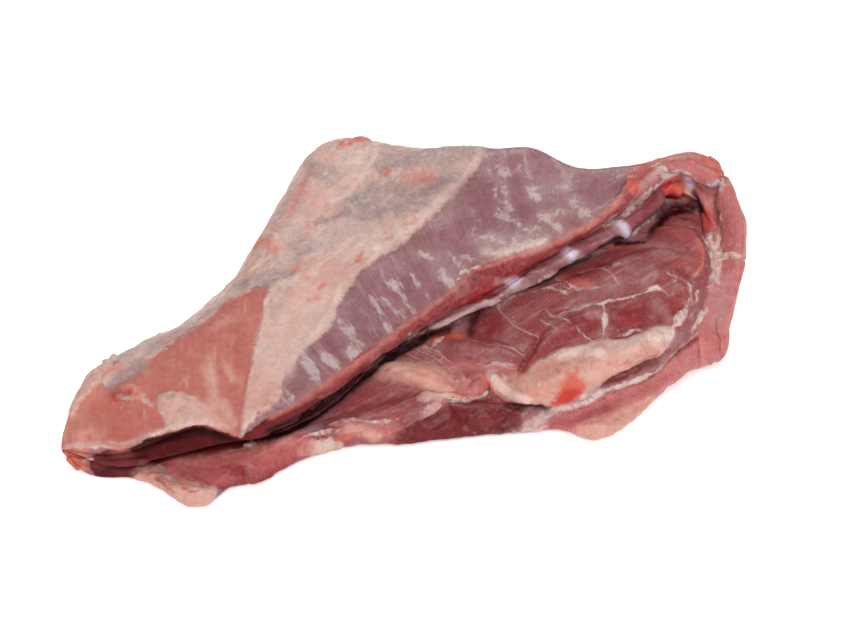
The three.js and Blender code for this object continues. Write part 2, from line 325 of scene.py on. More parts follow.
# White film that lies across the fibres like a torn net, each a line with its breadth in pixels
NET = {
    "corner curl": (4, ((485, 153), (488, 158), (490, 162))),
    "corner line": (4, ((487, 166), (490, 173), (496, 180))),
    "top patch": (7, ((497, 165), (502, 167), (500, 173), (502, 178))),
    "top patch low": (5, ((500, 177), (507, 176), (512, 173))),
    "top patch right": (5, ((504, 165), (508, 168), (505, 172))),
    "top spot": (6, ((516, 170), (520, 168), (523, 166))),
    "long streak": (6, ((523, 152), (527, 162), (526, 167), (530, 176), (533, 181))),
    "long streak end": (6, ((532, 182), (536, 181), (540, 179))),
    "middle patch": (9, ((527, 187), (532, 190), (537, 188))),
    "middle patch low": (8, ((527, 195), (533, 196), (541, 199))),
    "left line": (4, ((497, 185), (495, 193), (494, 198), (499, 201))),
    "stem": (5, ((502, 182), (505, 193), (506, 200))),
    "stem low": (10, ((506, 200), (509, 206), (511, 213))),
    "stem end": (7, ((509, 212), (505, 218), (505, 223))),
    "stem left": (7, ((495, 206), (498, 213), (502, 219))),
    "small": (6, ((471, 209), (474, 214))),
    "small low": (5, ((475, 226), (473, 233), (474, 239))),
    "small right": (5, ((479, 219), (480, 223))),
    "right top": (6, ((552, 157), (558, 165), (564, 172))),
    "right patch": (9, ((561, 175), (567, 179), (573, 174))),
    "right patch low": (7, ((556, 187), (563, 185), (570, 189))),
    "right cluster": (9, ((573, 197), (571, 204), (577, 210))),
    "right cluster low": (9, ((576, 211), (584, 213), (592, 217))),
    "right end": (4, ((604, 186), (614, 178), (626, 174))),
    "lower patch": (9, ((537, 217), (547, 219), (556, 216))),
    "lower patch top": (8, ((554, 213), (560, 211), (566, 212))),
    "lower patch low": (9, ((548, 222), (556, 227), (566, 230))),
    "thread": (4, ((511, 221), (516, 222), (521, 227), (527, 232), (534, 235), (541, 240))),
    "thread curl": (5, ((527, 229), (534, 228), (541, 226))),
    "thread end": (4, ((538, 227), (541, 231))),
    "line": (6, ((477, 236), (488, 236), (496, 239), (506, 244))),
    "line low": (6, ((513, 238), (521, 240), (531, 240))),
    "fringe": (8, ((485, 251), (496, 254), (508, 250), (524, 248), (546, 241))),
    "fringe top": (6, ((504, 244), (520, 243), (538, 240))),
    "left curl": (4, ((446, 260), (449, 256), (452, 253))),
    "left patch": (6, ((453, 259), (460, 263), (465, 269))),
    "left patch top": (6, ((460, 258), (470, 256), (480, 260))),
    "left threads": (4, ((433, 268), (441, 268), (446, 274))),
    "left haze": (8, ((415, 252), (423, 254), (432, 260))),
}
# Outlines of the orange spots, and of the fresh red in them
SPOTS = {
    "roll": (
        (549, 405), (556, 396), (560, 386), (566, 376), (572, 372), (578, 378), (587, 382), (584, 390),
        (576, 398), (564, 404),
    ),
    "end knob": (
        (663, 184), (668, 178), (675, 175), (680, 180), (683, 190), (680, 199), (672, 200), (666, 193),
    ),
    "fold stripe": ((705, 208), (710, 210), (711, 222), (709, 234), (705, 229), (704, 216)),
    "lip knob": ((628, 182), (634, 180), (639, 186), (636, 194), (630, 195), (627, 189)),
}
FRESH = {
    "roll": ((548, 406), (555, 397), (562, 388), (572, 384), (582, 390), (574, 400), (562, 406)),
    "end knob": ((662, 184), (668, 180), (673, 185), (675, 193), (679, 200), (672, 203), (664, 196)),
    "fold stripe": ((705, 210), (709, 212), (710, 222), (708, 230), (705, 226), (704, 217)),
}
# Painted shade in fine creases: dark lines along them, each a line with its breadth in pixels
CREASE_SHADES = {
    "roll right": (1.6, ((641, 358), (648, 354), (656, 351))),
    "roll edge": (2.0, ((598, 391), (606, 381), (616, 373), (640, 365), (662, 357))),
    "ribbon left": (2.5, ((487, 378), (489, 388), (498, 399), (508, 404))),
    "ribbon under": (4.0, ((506, 405), (518, 404), (530, 404), (540, 409))),
    "bundle edge": (2.0, ((515, 380), (518, 370), (526, 360), (534, 348), (541, 337))),
    "bundle loop": (1.5, ((533, 346), (535, 355), (542, 360), (548, 355))),
    "bundle top": (1.6, ((607, 314), (618, 307), (634, 304))),
    "bundle low": (1.6, ((606, 336), (618, 338), (632, 335), (644, 330))),
    "muscle line": (1.2, ((556, 322), (572, 316), (590, 312))),
    "muscle left": (1.4, ((480, 338), (496, 341), (510, 346))),
    "slit": (3.5, ((610, 245), (626, 243), (644, 242))),
    "rim shade": (5.0, ((652, 235), (657, 228), (663, 220), (672, 214), (686, 210))),
    "hole line": (2.0, ((662, 213), (678, 212), (692, 213))),
    "hole layer": (1.2, ((664, 222), (680, 219), (694, 223))),
    "lobe top": (1.6, ((652, 230), (668, 226), (686, 227), (698, 234))),
    "groove": (2.5, ((692, 190), (697, 198), (700, 208), (702, 220), (704, 233))),
    "lip end": (1.4, ((626, 178), (622, 190), (614, 199))),
    "tube low": (2.0, ((505, 301), (522, 292), (540, 281), (560, 270), (590, 258), (612, 247))),
    "tube line": (1.4, ((636, 214), (646, 205), (656, 197))),
    "lip under": (1.6, ((470, 304), (490, 297), (506, 288), (522, 276), (550, 258), (575, 245), (600, 231))),
    "front lobe": (1.6, ((465, 426), (470, 414), (480, 409), (490, 412), (496, 421))),
    "front left": (1.4, ((428, 432), (440, 426), (452, 414))),
    "frill under": (2.4, ((450, 406), (464, 404), (480, 401), (494, 399))),
    "frill lobe": (1.4, ((464, 392), (470, 384), (480, 378))),
    "recess": (4.0, ((506, 406), (520, 408), (534, 407), (546, 409))),
    "strand under": (1.4, ((566, 415), (590, 405), (620, 391), (650, 379), (668, 366))),
    "roll under": (3.0, ((603, 387), (620, 379), (640, 369), (660, 361))),
    "arm": (1.6, ((668, 364), (680, 351), (692, 341))),
    "arm end": (1.8, ((697, 336), (701, 348), (701, 366))),
    "arm right": (1.2, ((717, 318), (718, 338), (718, 358))),
    "flap top": (1.4, ((578, 428), (586, 423), (606, 421))),
    "tongue": (1.4, ((243, 470), (245, 482))),
    "tongue left": (1.2, ((232, 470), (228, 480), (230, 486))),
    "tongue fat": (1.2, ((150, 478), (166, 484), (180, 494))),
    "tongue fat right": (1.2, ((182, 486), (190, 492), (200, 490))),
    "curl": (1.6, ((66, 454), (76, 457), (86, 458))),
    "sheet": (2.5, ((118, 453), (134, 449), (142, 442), (160, 438), (184, 432), (206, 429), (222, 438))),
    "spot": (1.4, ((112, 399), (122, 402), (132, 401))),
    "seam": (1.2, ((246, 424), (258, 414), (270, 410), (282, 408))),
    "seam top": (1.0, ((254, 408), (266, 402), (278, 402))),
}
# Soft strokes of colour, laid in this order: each has its strength, and its breadth and soft edge in pixels.
# Some strokes are painted shade and some painted highlights, as marked below
STAINS = {
    "thin_fat": {
        "upper left": (0.55, 20, 12, ((314, 170), (330, 178))),
        "top": (0.6, 18, 12, ((380, 160), (400, 162), (420, 158), (440, 156), (474, 152))),
        "middle": (0.65, 34, 16, ((356, 206), (385, 200), (410, 198), (430, 192), (446, 185))),
        "lower": (0.5, 18, 12, ((292, 250), (325, 238), (350, 232), (374, 221))),
        "bottom": (0.6, 12, 8, ((240, 286), (265, 279), (292, 272))),
        "tip": (0.75, 11, 8, ((112, 387), (124, 376), (142, 365))),
        "rim": (0.5, 8, 6, ((150, 352), (168, 340), (192, 326))),
        "left edge": (0.35, 14, 10, ((278, 228), (292, 205), (302, 188))),
    },
    "film": {
        "veil a": (0.15, 20, 16, ((436, 262), (450, 274), (460, 284))),
        "veil b": (0.25, 20, 16, ((484, 246), (510, 242), (540, 238))),
        "veil c": (0.15, 20, 16, ((552, 212), (570, 206), (584, 206))),
        "nodule": (0.6, 12, 9, ((499, 285), (508, 283), (520, 284))),
        "nodule middle": (0.6, 13, 10, ((556, 257), (566, 256), (576, 258))),
        "nodule right": (0.6, 11, 8, ((615, 221), (621, 229), (624, 238))),
        "tube rim": (0.4, 5, 4, ((522, 289), (538, 282), (556, 272))),
        "front rim": (0.5, 4, 3, ((468, 432), (490, 434), (514, 434))),
        "sheet": (0.3, 10, 9, ((208, 366), (213, 386), (213, 406))),
        "sheet right": (0.3, 10, 9, ((224, 404), (228, 414), (230, 424))),
    },
    "lean_grey": {
        "lean top": (0.2, 34, 24, ((496, 158), (520, 164), (548, 176))),
        "lean top right": (0.6, 22, 16, ((540, 162), (552, 170), (564, 180))),
        "muscle": (0.3, 16, 12, ((612, 286), (632, 278), (650, 276))),
        "muscle top": (0.3, 10, 8, ((660, 254), (676, 256), (692, 260))),
        "flap": (0.2, 14, 10, ((456, 350), (480, 352), (504, 358))),
        "under the lip": (0.6, 12, 6, ((430, 328), (450, 320), (470, 312), (490, 304))),
        "right fold": (0.45, 22, 16, ((724, 284), (722, 300), (718, 318))),
        "muscle middle": (0.4, 14, 10, ((586, 292), (600, 290), (616, 288))),
        "bundle right": (0.4, 10, 8, ((656, 306), (664, 312), (668, 320))),
        "arm end": (0.35, 14, 8, ((524, 430), (536, 424), (550, 416))),
        "recess": (0.45, 12, 9, ((510, 426), (520, 422), (530, 416))),
    },
    "lean_dark": {
        "lean left": (0.7, 12, 10, ((352, 298), (358, 312), (366, 330))),
        "lean right": (0.5, 20, 14, ((590, 192), (604, 186), (618, 182))),
        "lean middle": (0.5, 30, 22, ((470, 190), (480, 200), (484, 216))),
        "lean stem": (0.4, 16, 12, ((514, 182), (520, 196), (524, 210))),
        "lean low": (0.6, 10, 8, ((288, 376), (296, 386), (304, 396))),
        "lean bundle": (0.6, 8, 6, ((328, 342), (336, 352), (344, 362))),
        "lean bundle right": (0.5, 8, 6, ((404, 276), (414, 292), (424, 306))),
        "tube": (0.5, 12, 8, ((524, 284), (545, 270), (560, 262))),
        "tube right": (0.5, 12, 8, ((580, 252), (596, 244), (612, 234))),
    },
    "membrane": {
        "hollow": (0.25, 18, 12, ((96, 462), (116, 467), (140, 470))),
        "tube": (0.6, 14, 8, ((628, 224), (642, 211), (656, 199), (664, 191))),
        "recess": (0.5, 16, 10, ((512, 418), (522, 414), (532, 408))),
    },
    "fold": {
        "front lobe": (0.5, 14, 10, ((474, 420), (484, 415), (492, 422))),
        "tongue": (0.8, 26, 14, ((180, 470), (210, 474), (240, 470), (270, 456), (300, 446))),
        "lip end": (0.9, 18, 10, ((634, 176), (642, 171), (650, 174))),
        "hole right": (0.6, 12, 8, ((684, 238), (694, 244), (700, 250))),
        "fan": (0.4, 14, 10, ((416, 352), (434, 358), (448, 366))),
        "flap low": (0.6, 12, 8, ((448, 368), (470, 366), (496, 370), (514, 372))),
    },
    "fold_pale": {
        "frill lobe": (0.8, 16, 8, ((483, 374), (477, 384), (470, 392))),
        "frill tabs": (0.6, 14, 8, ((454, 374), (460, 382), (464, 388))),
        "shelf strand": (0.6, 8, 5, ((440, 400), (432, 408), (420, 420))),
        "lower strip": (0.6, 16, 10, ((344, 428), (366, 430), (390, 430), (404, 434))),
    },
    "cut": {
        "arm": (0.6, 14, 10, ((556, 424), (580, 418), (604, 408))),
        "strip": (0.6, 8, 6, ((697, 196), (701, 204), (706, 212))),
        "layers": (0.5, 10, 8, ((676, 218), (688, 214), (698, 220))),
        "lobe": (0.4, 10, 8, ((662, 236), (680, 234), (698, 240))),
    },
    "fat_pink": {
        "roll": (0.75, 34, 12, ((510, 392), (540, 384), (570, 374), (600, 362))),
        # Painted shade in the pocket under the roll's left end, in the pink fat's colour
        "roll shade": (0.9, 8, 6, ((520, 398), (536, 392), (546, 382), (560, 376))),
        "roll right": (0.4, 14, 10, ((604, 364), (630, 358), (656, 350))),
        "strip": (0.7, 24, 12, ((380, 366), (410, 372), (440, 380))),
        "tongue": (0.7, 24, 12, ((146, 476), (170, 488), (194, 496))),
        "veil": (0.6, 14, 9, ((208, 362), (212, 384), (214, 404), (214, 424))),
        "veil right": (0.45, 8, 7, ((224, 364), (232, 374), (240, 381))),
        "veil low": (0.6, 14, 8, ((218, 402), (226, 412), (230, 424))),
        "tip": (0.3, 30, 22, ((90, 396), (78, 416), (74, 440))),
        "tip low": (0.5, 20, 8, ((82, 440), (96, 436), (99, 422))),
        "patch": (0.4, 26, 12, ((172, 412), (188, 408), (198, 410))),
        "lower strip": (0.85, 10, 8, ((348, 429), (362, 429), (376, 436))),
        "end knob": (0.8, 10, 6, ((684, 184), (687, 192), (684, 200))),
        "seam": (0.65, 24, 16, ((300, 300), (290, 330), (276, 360), (262, 400))),
        "flap": (0.9, 26, 8, ((586, 436), (604, 434), (626, 422), (650, 408))),
    },
    "salmon_dark_and_shade": {
        "tip": (0.9, 30, 20, ((104, 414), (118, 426), (124, 440))),
        "strip": (0.5, 6, 6, ((374, 366), (396, 376), (420, 385))),
        "strip right": (0.5, 9, 8, ((438, 372), (450, 382), (458, 392))),
        "frill": (0.6, 12, 8, ((468, 386), (476, 376), (484, 380))),
        "curl": (0.8, 14, 8, ((64, 452), (72, 460), (80, 468))),
        # Painted shade in the pocket at the roll's left end
        "roll left": (0.4, 18, 14, ((520, 394), (538, 392), (552, 388))),
    },
    "ash": {
        "a": (0.75, 5, 4, ((316, 222), (332, 218), (348, 212))),
        "b": (0.75, 5, 4, ((362, 219), (374, 215), (388, 209))),
        "c": (0.6, 6, 5, ((380, 171), (394, 166), (408, 159))),
        "d": (0.6, 7, 5, ((424, 195), (434, 187), (444, 180))),
        "e": (0.6, 6, 5, ((296, 259), (308, 251), (322, 244))),
        "f": (0.5, 6, 5, ((353, 202), (366, 192), (374, 185))),
        "g": (0.5, 5, 4, ((394, 209), (404, 203), (416, 197))),
        "h": (0.6, 4, 3, ((262, 286), (276, 281), (294, 274))),
        "i": (0.5, 4, 3, ((444, 196), (454, 186), (462, 178))),
        "rim": (0.8, 3, 2, ((114, 364), (119, 362))),
        "patch": (0.7, 3, 2, ((170, 397), (173, 396))),
        "seam": (0.6, 3, 2, ((271, 406), (276, 405))),
    },
    # Painted shade in the recess, under the thin sheet's edge and along the lip gap; the front strokes darken
    # the lower front face
    "belly_dark_and_shade": {
        "front": (0.7, 26, 16, ((420, 436), (444, 428), (466, 420))),
        "front right": (0.55, 18, 12, ((486, 434), (500, 426), (508, 412))),
        "recess": (0.8, 12, 8, ((508, 408), (514, 412), (516, 420))),
        "hollow": (0.7, 14, 8, ((140, 452), (170, 450), (205, 447), (232, 444))),
        "lip left": (0.7, 14, 10, ((254, 438), (280, 424), (306, 408))),
        "lip": (0.5, 7, 6, ((300, 412), (340, 384), (380, 355), (400, 342))),
        "front all": (0.8, 34, 16, ((412, 440), (446, 428), (480, 424), (500, 420))),
    },
    "cream_and_highlight": {
        "border": (0.5, 8, 7, ((452, 188), (436, 206), (420, 220), (400, 236), (376, 254))),
        "border top": (0.4, 5, 5, ((480, 154), (470, 170), (456, 186))),
        "seam": (0.4, 7, 6, ((344, 286), (336, 300), (328, 322), (304, 346), (288, 372))),
        "seam left": (0.5, 5, 4, ((268, 300), (262, 326), (254, 362), (248, 398), (244, 424))),
        "layer": (0.6, 5, 4, ((377, 141), (376, 155), (366, 172), (356, 185), (350, 194), (332, 201))),
        "corner": (0.4, 24, 14, ((346, 156), (356, 168))),
        "knob right": (0.4, 8, 6, ((641, 187), (648, 181), (654, 176))),
        "seam wash": (0.4, 34, 20, ((312, 300), (296, 318), (286, 338), (276, 366))),
        "middle wash": (0.3, 26, 18, ((322, 240), (345, 236), (368, 232))),
        "low wash": (0.2, 14, 8, ((270, 372), (262, 392))),
        "sheet edge": (0.5, 4, 3, (
            (66, 446), (100, 443), (126, 445), (138, 437), (166, 428), (200, 420), (228, 428),
        )),
        "lip fringe": (0.5, 8, 7, ((485, 251), (498, 253), (522, 248), (546, 241))),
        "roll left": (0.7, 9, 6, ((492, 374), (500, 386), (510, 397), (530, 401))),
        # Painted highlights on the roll's whiter lumps, these five strokes
        "roll light": (0.8, 9, 6, ((560, 357), (576, 353), (592, 352), (602, 357))),
        "roll right light": (0.75, 14, 8, ((652, 338), (660, 332), (667, 334))),
        "roll middle light": (0.35, 12, 8, ((608, 348), (622, 346), (636, 342))),
        "roll top light": (0.5, 8, 6, ((564, 360), (576, 354))),
        "roll low light": (0.5, 6, 5, ((612, 370), (630, 364), (648, 360))),
    },
    "crest": {
        "lip": (0.7, 4, 4, (
            (270, 418), (300, 403), (340, 373), (384, 341), (417, 317), (455, 289), (472, 270), (510, 258),
            (545, 248), (580, 230), (600, 217), (620, 198), (630, 184),
        )),
        "lip right": (0.35, 6, 5, ((584, 229), (602, 216), (618, 201))),
        "strip": (0.6, 4, 3, ((690, 176), (700, 182), (708, 192), (713, 206))),
        "right lobe": (0.5, 4, 4, ((717, 190), (721, 202), (723, 214), (722, 230))),
        "fold": (0.5, 5, 4, ((650, 160), (690, 153), (706, 158), (720, 172))),
        "fold right": (0.7, 4, 3, (
            (726, 178), (735, 187), (742, 203), (748, 220), (746, 236), (748, 246), (743, 260),
        )),
        "fold low": (0.5, 5, 4, ((740, 286), (737, 302), (729, 322), (727, 335), (728, 350), (727, 361))),
        "arm": (0.6, 5, 4, ((690, 342), (698, 335), (701, 348), (700, 364))),
        "muscle end": (0.9, 4, 3, ((695, 240), (700, 248), (703, 258), (701, 268), (695, 275))),
        "muscle top": (0.4, 4, 3, ((608, 248), (641, 245), (660, 246), (684, 250))),
        "lobe top": (0.6, 3, 2.5, ((655, 231), (668, 228), (684, 229), (694, 234))),
        "tongue": (0.4, 8, 6, ((180, 464), (210, 458), (250, 450), (290, 440))),
    },
    "blood": {
        "scrap": (0.85, 7, 3, ((343, 145), (352, 142), (362, 139), (369, 138))),
        "a": (0.8, 5, 4, ((385, 175), (388, 171))),
        "b": (0.4, 14, 12, ((410, 175), (420, 179), (430, 178))),
        "c": (0.5, 4, 3, ((355, 189), (360, 184))),
        "d": (0.5, 4, 3, ((303, 194), (306, 191))),
        "e": (0.45, 8, 7, ((406, 225), (415, 221))),
        "f": (0.9, 4, 3, ((357, 261), (360, 256), (364, 253))),
        "g": (0.6, 4, 3, ((388, 240), (392, 239))),
        "h": (0.75, 4, 3, ((291, 271), (296, 268), (300, 265))),
        "i": (0.55, 9, 6, ((267, 240), (272, 246), (275, 251))),
        "j": (0.8, 5, 3, ((254, 248), (261, 239))),
        "k": (0.5, 4, 3, ((272, 232), (277, 226))),
        "l": (0.3, 10, 9, ((304, 232), (314, 228))),
        "m": (0.85, 5, 3, ((317, 290), (322, 285))),
        "n": (0.7, 4, 3, ((271, 304), (274, 308))),
        "o": (0.6, 4, 3, ((308, 302), (318, 298))),
        "left edge": (0.5, 5, 4, ((309, 172), (303, 186), (298, 196), (292, 210), (287, 218))),
        "rim": (0.3, 8, 6, ((106, 374), (114, 370), (121, 368))),
        "rim dot": (0.4, 4, 3, ((164, 326), (168, 323))),
        "tip dot": (0.8, 3, 2, ((88, 436), (89, 438))),
        "fold corner": (0.6, 7, 6, ((706, 160), (714, 165), (719, 173))),
        "lip knob": (0.6, 10, 6, ((630, 182), (632, 188), (637, 190))),
        "muscle": (0.5, 8, 6, ((562, 278), (574, 281), (588, 287))),
        "muscle right": (0.25, 12, 10, ((678, 264), (690, 264), (698, 260))),
        "lip corner": (0.6, 8, 5, ((434, 338), (446, 332), (458, 336), (470, 340))),
        "front lobe": (0.45, 10, 8, ((474, 418), (484, 414), (491, 420))),
        "strip": (0.35, 8, 7, ((416, 371), (436, 378), (452, 389))),
        "curl": (0.45, 10, 7, ((66, 454), (74, 462), (82, 468))),
        "lower edge": (0.75, 7, 4, ((340, 438), (350, 434))),
        "lower strand": (0.3, 6, 5, ((384, 432), (398, 428), (412, 422))),
        "roll pink": (0.35, 9, 8, ((636, 352), (645, 349))),
        "roll left": (0.4, 8, 6, ((540, 372), (552, 366), (566, 366))),
        "roll low": (0.4, 6, 5, ((604, 376), (622, 366), (640, 358), (656, 352))),
        "ribbon": (0.35, 5, 4, ((484, 374), (490, 382), (494, 390))),
        "sheet spot": (0.7, 10, 5, ((114, 397), (122, 391), (132, 390), (138, 394))),
        "end knob": (0.6, 10, 6, ((676, 180), (680, 188), (680, 195))),
        "muscle end": (0.3, 6, 5, ((699, 244), (702, 256), (700, 270))),
        "tongue": (0.35, 8, 6, ((146, 474), (160, 480), (172, 488))),
    },
    "red": {
        "muscle top": (0.4, 8, 7, ((604, 251), (618, 248), (634, 249))),
        "roll crease": (0.35, 3, 3, ((606, 364), (622, 362), (640, 361))),
        "arm": (0.4, 7, 6, ((684, 346), (692, 340), (698, 336))),
        "strip": (0.35, 8, 7, ((520, 374), (526, 364), (532, 356))),
        "roll dot": (0.5, 3, 2, ((556, 373), (558, 375))),
        "roll dot right": (0.6, 4, 3, ((575, 369), (577, 373))),
        "ribbon": (0.7, 4, 3, ((487, 377), (489, 386))),
        "frill": (0.5, 3, 2, ((453, 394), (465, 395))),
        "bundle": (0.5, 8, 6, ((620, 317), (636, 322))),
        "sheet spot": (0.4, 5, 4, ((114, 396), (122, 392), (130, 391))),
        "tongue dot": (0.7, 3, 2, ((184, 489), (187, 488))),
        "lip middle": (0.45, 10, 8, ((338, 384), (352, 376), (366, 368))),
        "lip low": (0.5, 7, 6, ((470, 299), (497, 286), (520, 272), (545, 258), (575, 243))),
    },
    "cut_dark_and_shade": {
        "muscle left": (0.75, 24, 18, ((482, 318), (496, 326), (486, 334))),
        "muscle under": (0.18, 28, 18, ((478, 350), (494, 352), (512, 354))),
        "lip middle": (0.2, 8, 6, ((338, 384), (352, 376), (366, 368))),
        "tongue crease": (0.75, 13, 9, ((242, 473), (246, 477), (244, 482))),
        "tongue crease left": (0.3, 12, 9, ((228, 470), (236, 470))),
        "sheet spot": (0.55, 11, 8, ((115, 395), (122, 393), (128, 393))),
        "lip upper": (0.4, 8, 6, ((556, 246), (568, 241), (580, 236))),
        "muscle right": (0.4, 12, 10, ((664, 268), (676, 272), (684, 276))),
        "muscle upper": (0.5, 12, 10, ((572, 278), (588, 272), (606, 262), (622, 254), (644, 254))),
        "bundle red": (0.6, 12, 8, ((614, 314), (626, 316), (638, 320))),
        "bundle a": (0.55, 14, 10, ((574, 318), (586, 326), (594, 330))),
        "bundle b": (0.5, 16, 10, ((616, 312), (634, 312), (644, 306))),
        "notch": (0.7, 10, 6, ((536, 342), (530, 354), (524, 368))),
        "under the roll": (0.55, 10, 6, ((606, 382), (630, 370), (656, 361))),
        "front": (0.5, 20, 12, ((428, 430), (446, 424), (462, 418))),
        # Painted shade: the dark lower margin under the lip
        "lip edge": (0.65, 6, 5, ((420, 331), (470, 303), (500, 287), (522, 273), (550, 256), (590, 234))),
        "lobe": (0.5, 10, 8, ((650, 238), (664, 234))),
        # Painted shade under the tube's rim and in the hole behind it, these two strokes
        "behind": (0.55, 9, 7, ((672, 208), (682, 210), (690, 206))),
        "tube": (0.35, 10, 8, ((640, 214), (652, 203), (662, 193))),
        "shelf": (0.4, 30, 16, ((330, 416), (360, 402), (390, 394), (412, 396))),
        "front wide": (0.75, 36, 16, ((416, 440), (450, 426), (480, 418), (502, 414))),
        "muscle low": (0.35, 24, 18, ((500, 330), (524, 322), (550, 312))),
        "lip low": (0.65, 12, 10, ((258, 432), (290, 416), (320, 396), (350, 376))),
        "fold line": (0.5, 5, 4, ((718, 190), (719, 206), (720, 214))),
        "arm crease": (0.6, 5, 4, ((676, 352), (688, 344), (698, 338))),
    },
    "shade": {
        "under the rim": (0.95, 10, 7, ((653, 232), (659, 222), (667, 214), (678, 210), (692, 208))),
        "slit": (0.95, 4, 3, ((616, 244), (630, 243), (644, 242))),
        "layers": (0.4, 3, 3, ((668, 222), (684, 219), (698, 224))),
        "hole": (0.8, 12, 9, ((660, 214), (672, 208), (688, 206))),
        "groove": (0.65, 4, 4, ((693, 190), (698, 202), (702, 216), (705, 232))),
        "left end": (0.9, 9, 8, ((470, 334), (472, 322), (480, 314))),
        "lip left": (0.8, 7, 5, ((388, 354), (408, 343), (430, 333), (448, 331))),
        "recess": (0.75, 9, 6, ((508, 406), (522, 408), (536, 406), (546, 409))),
        "recess left": (0.35, 6, 5, ((508, 410), (505, 422), (502, 434))),
        "lip gap": (0.9, 8, 7, ((268, 440), (300, 425), (330, 404), (360, 380), (400, 348), (428, 333))),
        "sheet gap": (0.85, 8, 6, ((134, 449), (150, 442), (180, 434), (206, 431), (222, 438))),
        "under the frill": (0.45, 5, 4, ((460, 404), (476, 402), (492, 398))),
        "under the roll": (0.5, 4, 3, ((606, 380), (628, 367), (650, 358), (662, 354))),
        "arm": (0.4, 3, 3, ((670, 362), (682, 350), (696, 339))),
        "front": (0.26, 32, 16, ((410, 440), (446, 427), (480, 421), (502, 418))),
        "floor edge": (0.35, 5, 5, ((420, 444), (460, 440), (500, 436), (540, 436))),
    },
    # Painted highlights: blue-white glints on the wet nodules, the end knob, the fold and the muscle, partly
    # on pale nodule tissue
    "glint_and_nodule": {
        "nodule": (0.95, 7, 5, ((509, 282), (516, 280))),
        "nodule middle": (0.9, 8, 6, ((567, 252), (573, 255))),
        "nodule right": (0.85, 6, 5, ((620, 226), (623, 230))),
        "end knob": (0.85, 6, 5, ((687, 181), (691, 185))),
        "fold": (0.6, 6, 5, ((710, 185), (716, 184), (721, 187))),
        "muscle dot": (0.4, 3, 2, ((613, 267), (618, 266))),
    },
}
# Purple skin between the lip and the inner muscle
MEMBRANE = {
    "under the lip": (
        (400, 342), (440, 318), (470, 305), (505, 287), (545, 262), (600, 230), (628, 204), (650, 184),
        (664, 182), (652, 206), (637, 226), (618, 243), (590, 258), (560, 271), (530, 287), (505, 300),
        (480, 312), (450, 325), (420, 340),
    ),
}
